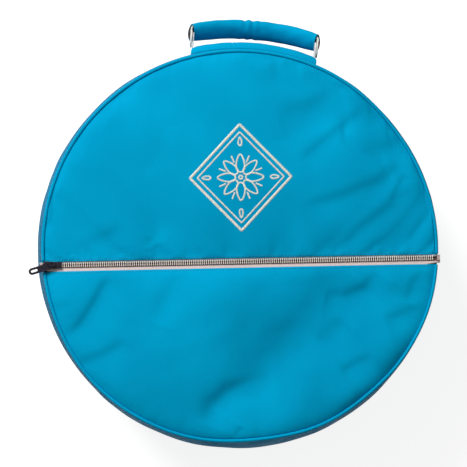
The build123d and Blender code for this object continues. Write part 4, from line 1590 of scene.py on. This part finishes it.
def strap_piece():
    line = strap_line()
    lengths = run_lengths([point[:2] for point in line])

    def place(i, j):
        x, reach, half = line[i]
        return on_handle(x, reach, half * (j / 4 - 1))

    def unroll(i, j):
        return (lengths[i], line[i][2] * (j / 4 - 1) + STRAP_HALF)

    piece = skin("handle_strap", len(line), 9, place, unroll)
    body = piece.modifiers.new("Thickness", "SOLIDIFY")
    body.thickness = STRAP
    body.offset = 0
    return close_up(settle_modifiers(piece))


dress(strap_piece(), WEBBING, "handle", "cream_webbing", "handle_webbing")

# %% [markdown]
# The patch is a pillow sewn down round its edge: cloth over a thin pad, highest in the middle of
# each field and pulled in along its stitch lines. A bevelled box would miss those lines, so its
# height over the wall is one function of the place, which the stitches use too.

# %% Handle patch
PATCH_TOP = max(hypot(v.co.x, v.co.y) for v in frame["nodes"]["handle_patch"].data.vertices)
PATCH_TURN = asin(max(abs((v.co - HANDLE_AT).dot(CHORD))
                      for v in frame["nodes"]["handle_patch"].data.vertices) / PATCH_TOP)
PATCH_LOW = low("handle_patch", Z)
PATCH_HIGH = high("handle_patch", Z)
STITCH_INSET = 5 * MM
CROSS_STITCHES = (22 * MM, 27 * MM)


def patch_rise(run, height):
    """How far the patch stands off the belly, by the run along it from its middle."""
    edge = min(PATCH_TURN * PATCH_TOP - abs(run), height - PATCH_LOW, PATCH_HIGH - height)
    edge = max(0.0, edge)
    full = PATCH_TOP - BELLY
    rise = full * (1 - exp(-edge / (1.6 * MM))) * (0.80 + 0.20 * pillow(edge, 9 * MM))
    rise -= 0.9 * MM * exp(-((edge - STITCH_INSET) / (1.3 * MM)) ** 2)
    for line in CROSS_STITCHES:
        rise -= 0.6 * MM * exp(-((run + line) / (1.2 * MM)) ** 2)
    rise -= 0.35 * MM * (1 + rumple(run, height, 0.013, 5.5)) * pillow(edge, 3 * MM)
    return rise


def patch_point(run, height, foot=False):
    bearing = HANDLE_BEARING - run / PATCH_TOP
    if foot:
        radius = wall(height, -0.4 * MM)
    else:
        radius = max(wall(height, -0.5 * MM), BELLY + patch_rise(run, height))
    return Vector((radius * cos(bearing), radius * sin(bearing), height))


def patch_piece():
    runs, rises = 150, 60
    half = PATCH_TURN * PATCH_TOP

    def place(i, j):
        run = half * (2 * i / (runs - 1) - 1)
        row = j if j < rises else 2 * rises - 1 - j
        height = PATCH_LOW + (PATCH_HIGH - PATCH_LOW) * row / (rises - 1)
        return patch_point(run, height, j >= rises)

    def unroll(i, j):
        row = j if j < rises else 2 * rises - 1 - j
        return (2 * half * i / (runs - 1), (PATCH_HIGH - PATCH_LOW) * row / (rises - 1))

    return cap_ends(skin("handle_patch_cover", runs, 2 * rises, place, unroll, round_columns=True))


patch = dress(patch_piece(), SHELL, "lid", "turquoise_fabric", "handle_patch", "handle_patch_pad")

# %% [markdown]
# Two short ends of webbing come out of the patch beside the handle's legs, and carry them. Each
# is a rounded outline, pushed out to the webbing's thickness, with its edges softened.

# %% Webbing tabs
TAB_X = LEG - STRAP - BODY_GAP
TAB_HALF = GRIP_END - SLEEVE_THICK - BODY_GAP
ROOT_DEPTH = 14 * MM


def tab_piece(name, side):
    """A short end of webbing, standing out of the patch, rounded about the handle's pivot."""
    outline = [(-ROOT_DEPTH, -TAB_HALF)]
    outline += [(TAB_HALF * sin(pi * k / 12), -TAB_HALF * cos(pi * k / 12)) for k in range(13)]
    outline += [(-ROOT_DEPTH, TAB_HALF)]
    work = bmesh.new()
    x = side * TAB_X
    corners = [work.verts.new(HANDLE_AT + CHORD * (x - STRAP / 2) + OUT * out + Vector((0, 0, up)))
               for out, up in outline]
    face = work.faces.new(corners)
    grown = bmesh.ops.extrude_face_region(work, geom=[face])
    moved = [item for item in grown["geom"] if isinstance(item, bmesh.types.BMVert)]
    bmesh.ops.translate(work, verts=moved, vec=CHORD * STRAP)
    bmesh.ops.recalc_face_normals(work, faces=work.faces)
    layer = work.loops.layers.uv.new(UV)
    for face in work.faces:
        for loop in face.loops:
            shift = loop.vert.co - HANDLE_AT
            loop[layer].uv = (shift.dot(OUT), shift.z + TAB_HALF)
    mesh = bpy.data.meshes.new(name)
    work.to_mesh(mesh)
    work.free()
    piece = new_object(name, mesh)
    edge = piece.modifiers.new("Edge", "BEVEL")
    edge.width = 0.4 * MM
    edge.segments = 2
    return settle_modifiers(piece)


anchor_tabs = join("handle_anchor_tabs", [tab_piece("tab_a", -1), tab_piece("tab_b", 1)])
dress(anchor_tabs, WEBBING, "lid", "cream_webbing", "handle_anchor_webbing")

# %% [markdown]
# ## Embroidery
#
# The front carries an embroidered ornament in ivory satin stitch: threads laid side by side
# across each line. The design is a plain folk motif, a rosette of eight petals in a lozenge
# frame. It could be a pattern in the cloth's finish, but raised thread catches the light. Each
# line is a path on the panel, and the stitches are laid along it by the same tree.

# %% Ornament
ORNAMENT = Vector((0.002, 0.081))
HALF_WIDE = 61 * MM
HALF_TALL = 64 * MM


def cloth_frame(x, y, height):
    """The point of a height field at a place, and the direction out of it."""
    step = 1.0 * MM
    slope_x = (height(x + step, y) - height(x - step, y)) / (2 * step)
    slope_y = (height(x, y + step) - height(x, y - step)) / (2 * step)
    return Vector((x, y, height(x, y))), Vector((-slope_x, -slope_y, 1)).normalized()


def path_on_front(points, closes):
    frames = [cloth_frame(ORNAMENT.x + x, ORNAMENT.y + y, front_height) for x, y in points]
    return ([place for place, out in frames], [out for place, out in frames], closes)


def dense(corners, closes, step=2.0 * MM):
    """More points along straight lines between corners."""
    chain = []
    pairs = zip(corners, corners[1:] + corners[:1]) if closes else zip(corners, corners[1:])
    for (ax, ay), (bx, by) in pairs:
        count = max(1, int(hypot(bx - ax, by - ay) / step))
        chain += [(ax + (bx - ax) * k / count, ay + (by - ay) * k / count) for k in range(count)]
    return chain if closes else chain + [corners[-1]]


def lozenge(share):
    wide, tall = HALF_WIDE * share, HALF_TALL * share
    return dense([(wide, 0), (0, tall), (-wide, 0), (0, -tall)], True)


def petal(turn, inner, outer, fat):
    """A pointed petal's outline."""
    chain = []
    for k in range(24):
        share = k / 24
        along = inner + (outer - inner) * (0.5 - 0.5 * cos(2 * pi * share))
        side = fat * sin(2 * pi * share) * (0.75 + 0.25 * cos(2 * pi * share))
        chain.append((along * cos(turn) - side * sin(turn), along * sin(turn) + side * cos(turn)))
    return chain


def spoke(turn, inner, outer):
    """A straight line out from the middle."""
    start = (inner * cos(turn), inner * sin(turn))
    end = (outer * cos(turn), outer * sin(turn))
    return dense([start, end], False)


bold = [path_on_front(lozenge(0.97), True)]
fine = [path_on_front(lozenge(0.83), True)]
for k in range(8):
    turn = pi / 4 * k
    leaf = petal(turn, inner=6 * MM, outer=27 * MM, fat=6.4 * MM)
    fine.append(path_on_front(leaf, True))
    fine.append(path_on_front(spoke(turn + pi / 8, inner=19 * MM, outer=27 * MM), False))
for turn, distance in ((0, 40 * MM), (pi / 2, 42 * MM), (pi, 40 * MM), (3 * pi / 2, 42 * MM)):
    centre = (distance * cos(turn), distance * sin(turn))
    grain = petal(turn, inner=-5 * MM, outer=5 * MM, fat=2.6 * MM)
    fine.append(path_on_front([(centre[0] + x, centre[1] + y) for x, y in grain], True))
fine.append(path_on_front([(2.2 * MM * cos(2 * pi * k / 16), 2.2 * MM * sin(2 * pi * k / 16))
                           for k in range(16)], True))
BOLD_STITCH = stitch_item("item_bold_satin", length=3.4 * MM, thickness=0.55 * MM,
                          along="Y", sides=5)
FINE_STITCH = stitch_item("item_fine_satin", length=2.2 * MM, thickness=0.5 * MM,
                          along="Y", sides=5)
ornament = (("ornament_frame", bold, BOLD_STITCH), ("ornament_rosette", fine, FINE_STITCH))
for name, paths, item in ornament:
    threads = lay_along(name, paths, item, pitch=0.5 * MM, finish=EMBROIDERY,
                        lift=0.15 * MM, wobble=0.05, seed=7)
    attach(threads, "lid")

# %% [markdown]
# ## Top stitching
#
# A line of thread holds every folded edge: the hem above the pocket zip, the pocket's edge, the
# wall beside the main zip, and the handle's patch. Stitches lie on the cloth, so the paths use
# the same height functions as the cloth.

# %% Seams
SEAM_INSET = 2.2 * MM


def hem_path(y, height):
    half = sqrt(PANEL_RADIUS ** 2 - y ** 2) - 3 * MM
    frames = [cloth_frame(half * (2 * k / 160 - 1), y, height) for k in range(161)]
    places = [Vector((*ease_out(place.x, place.y), place.z)) for place, out in frames]
    return (places, [out for place, out in frames], False)


def wall_path(height, seam, seed):
    bearings = [2 * pi * k / 720 for k in range(720)]
    chain = [on_wall(b, height, -wall_cloth(b, height, seam, seed)) for b in bearings]
    return (chain, [off_wall(b, height) for b in bearings], True)


def patch_path(corners, closes):
    chain = dense(corners, closes, 3 * MM)
    places = [patch_point(run, height) for run, height in chain]
    return (places, [Vector((p.x, p.y, 0)).normalized() for p in places], closes)


patch_run = PATCH_TURN * PATCH_TOP - STITCH_INSET
patch_low, patch_high = PATCH_LOW + STITCH_INSET, PATCH_HIGH - STITCH_INSET
patch_box = [(-patch_run, patch_low), (patch_run, patch_low),
             (patch_run, patch_high), (-patch_run, patch_high)]
patch_lines = [patch_path(patch_box, True)]
patch_lines += [patch_path([(-line, patch_low), (-line, patch_high)], False)
                for line in CROSS_STITCHES]
seams = (
    ("stitches_hem", [hem_path(HEM + SEAM_INSET, front_height)], "lid"),
    ("stitches_pocket", [hem_path(POCKET_EDGE - SEAM_INSET, pocket_height)], "lid"),
    ("stitches_wall_front",
     [wall_path(FRONT_EDGE + SEAM_INSET, FRONT_SEAM, FRONT_WALL_SEED)], "lid"),
    ("stitches_wall_back",
     [wall_path(BACK_EDGE - SEAM_INSET, BACK_SEAM, BACK_WALL_SEED)], "back_shell"),
    ("stitches_patch", patch_lines, "lid"),
)
for name, paths, body in seams:
    threads = lay_along(name, paths, TOP_STITCH, pitch=4.2 * MM, finish=SHELL_THREAD,
                        lift=0.1 * MM)
    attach(threads, body)

# %% [markdown]
# ## Sliders and pullers
#
# These are hard parts, and the CAD already has their true shape, so they keep their meshes and
# only get the black enamel. The stops at the ends of the pocket's chain are dull pink resin.

# %% Enamel on the sliders
for node in ("pocket_slider", "pocket_puller", "main_slider_right", "main_slider_left",
             "main_puller_right", "main_puller_left"):
    mesh = frame["nodes"][node].data
    mesh.materials.clear()
    mesh.materials.append(PAINT)
stops = frame["nodes"]["pocket_zip_stops"]
stops.data.materials.clear()
stops.data.materials.append(STOP_RESIN)

# %% [markdown]
# The stitches and the tooth have served as patterns, and aren't part of the case.

# %% Put the items away
print("put away:", ", ".join(item.name for item in ITEMS))
for item in ITEMS:
    bpy.data.objects.remove(item)

# %% [markdown]
# ## Floor, light and camera
#
# The case lies on its back on a pale floor, and the camera looks down on it from a little to the
# left and from the handle's far side. A large lamp at the upper left models the folds, and an
# even sky fills the shadows. The sky is white to the camera alone. The floor is dull, so that it
# throws little light back up, and has a light of its own for the camera, which keeps it pale and
# still lets the shadow show.

# %% Stage
FLOOR_HALF = 5.0
FLOOR_HEIGHT = -0.6 * MM
FLOOR_LIGHT = (0.82, 0.82, 0.82, 1)
EVEN_SKY = 0.24
floor_mesh = bpy.data.meshes.new("floor")
floor_corners = [(FLOOR_HALF * x, FLOOR_HALF * y, FLOOR_HEIGHT)
                 for x, y in ((-1, -1), (1, -1), (1, 1), (-1, 1))]
floor_mesh.from_pydata(floor_corners, [], [(0, 1, 2, 3)])
floor = new_object("floor", floor_mesh)
pale = Finish("pale_floor")
rays = pale.tree.nodes.new("ShaderNodeLightPath")
names = ("Is Camera Ray", "Is Glossy Ray", "Is Transmission Ray")
seen_rays = [Wire(pale, rays.outputs[name]) for name in names]
seen_at_all = (seen_rays[0] + seen_rays[1] + seen_rays[2]).clamp()
floor_mesh.materials.append(pale.surface(
    Base_Color=pale.mix(pale.noise(3.0), (0.42, 0.42, 0.42, 1), (0.46, 0.46, 0.46, 1)),
    Roughness=0.9,
    Specular_IOR_Level=0.1,
    Emission_Color=pale.mix(seen_at_all, (0, 0, 0, 1), FLOOR_LIGHT),
    Emission_Strength=1.0,
))

world = bpy.data.worlds.new("sky")
bpy.context.scene.world = world
world.use_nodes = True
sky = world.node_tree
sky.nodes.clear()
rays = sky.nodes.new("ShaderNodeLightPath").outputs
seen = tree_node(sky, "ShaderNodeMath", {"operation": "MAXIMUM"},
                 {0: rays["Is Camera Ray"], 1: rays["Is Transmission Ray"]})
even = tree_node(sky, "ShaderNodeBackground", {}, {"Color": (1, 1, 1, 1), "Strength": EVEN_SKY})
white = tree_node(sky, "ShaderNodeBackground", {}, {"Strength": 1.0})
either = tree_node(sky, "ShaderNodeMixShader", {},
                   {0: seen.outputs[0], 1: even.outputs[0], 2: white.outputs[0]})
tree_node(sky, "ShaderNodeOutputWorld", {}, {"Surface": either.outputs[0]})


def lamp(name, place, size, power):
    """A soft square lamp that looks at the middle of the case."""
    data = bpy.data.lights.new(name, "AREA")
    data.size = size
    data.energy = power
    made = new_object(name, data)
    made.location = place
    made.rotation_mode = "QUATERNION"
    made.rotation_quaternion = (Vector((0, 0, MIDDLE)) - Vector(place)).to_track_quat("-Z", "Y")


KEY_PLACE, KEY_SIZE, KEY_POWER = (-1.3, 1.8, 2.2), 1.5, 96
lamp("key", KEY_PLACE, KEY_SIZE, KEY_POWER)
print("lamp at", KEY_PLACE)

# %% [markdown]
# The camera stands far off with a long lens, so the round case keeps its shape. Its lean and
# roll are two small angles off straight down.

# %% Camera
CAMERA_DISTANCE = 3.0
LENS = 191
AIM = Vector((-0.004, 0.019, MIDDLE))
LEAN_X, LEAN_Y, ROLL = radians(-2.0), radians(-1.8), radians(1.2)
away = Vector((sin(LEAN_X), sin(LEAN_Y), cos(LEAN_X) * cos(LEAN_Y))).normalized()
upwards = Vector((sin(ROLL), cos(ROLL), 0))
right = upwards.cross(away).normalized()
upwards = away.cross(right)
camera_data = bpy.data.cameras.new("camera")
camera_data.lens = LENS
camera_data.sensor_width = 36
camera_data.clip_end = 50
camera = new_object("camera", camera_data)
place = AIM + away * CAMERA_DISTANCE
camera.matrix_world = Matrix((
    (right.x, upwards.x, away.x, place.x),
    (right.y, upwards.y, away.y, place.y),
    (right.z, upwards.z, away.z, place.z),
    (0, 0, 0, 1),
))
scene = bpy.context.scene
scene.camera = camera
scene.view_settings.view_transform = "Standard"
print("camera at", [round(value, 3) for value in place])
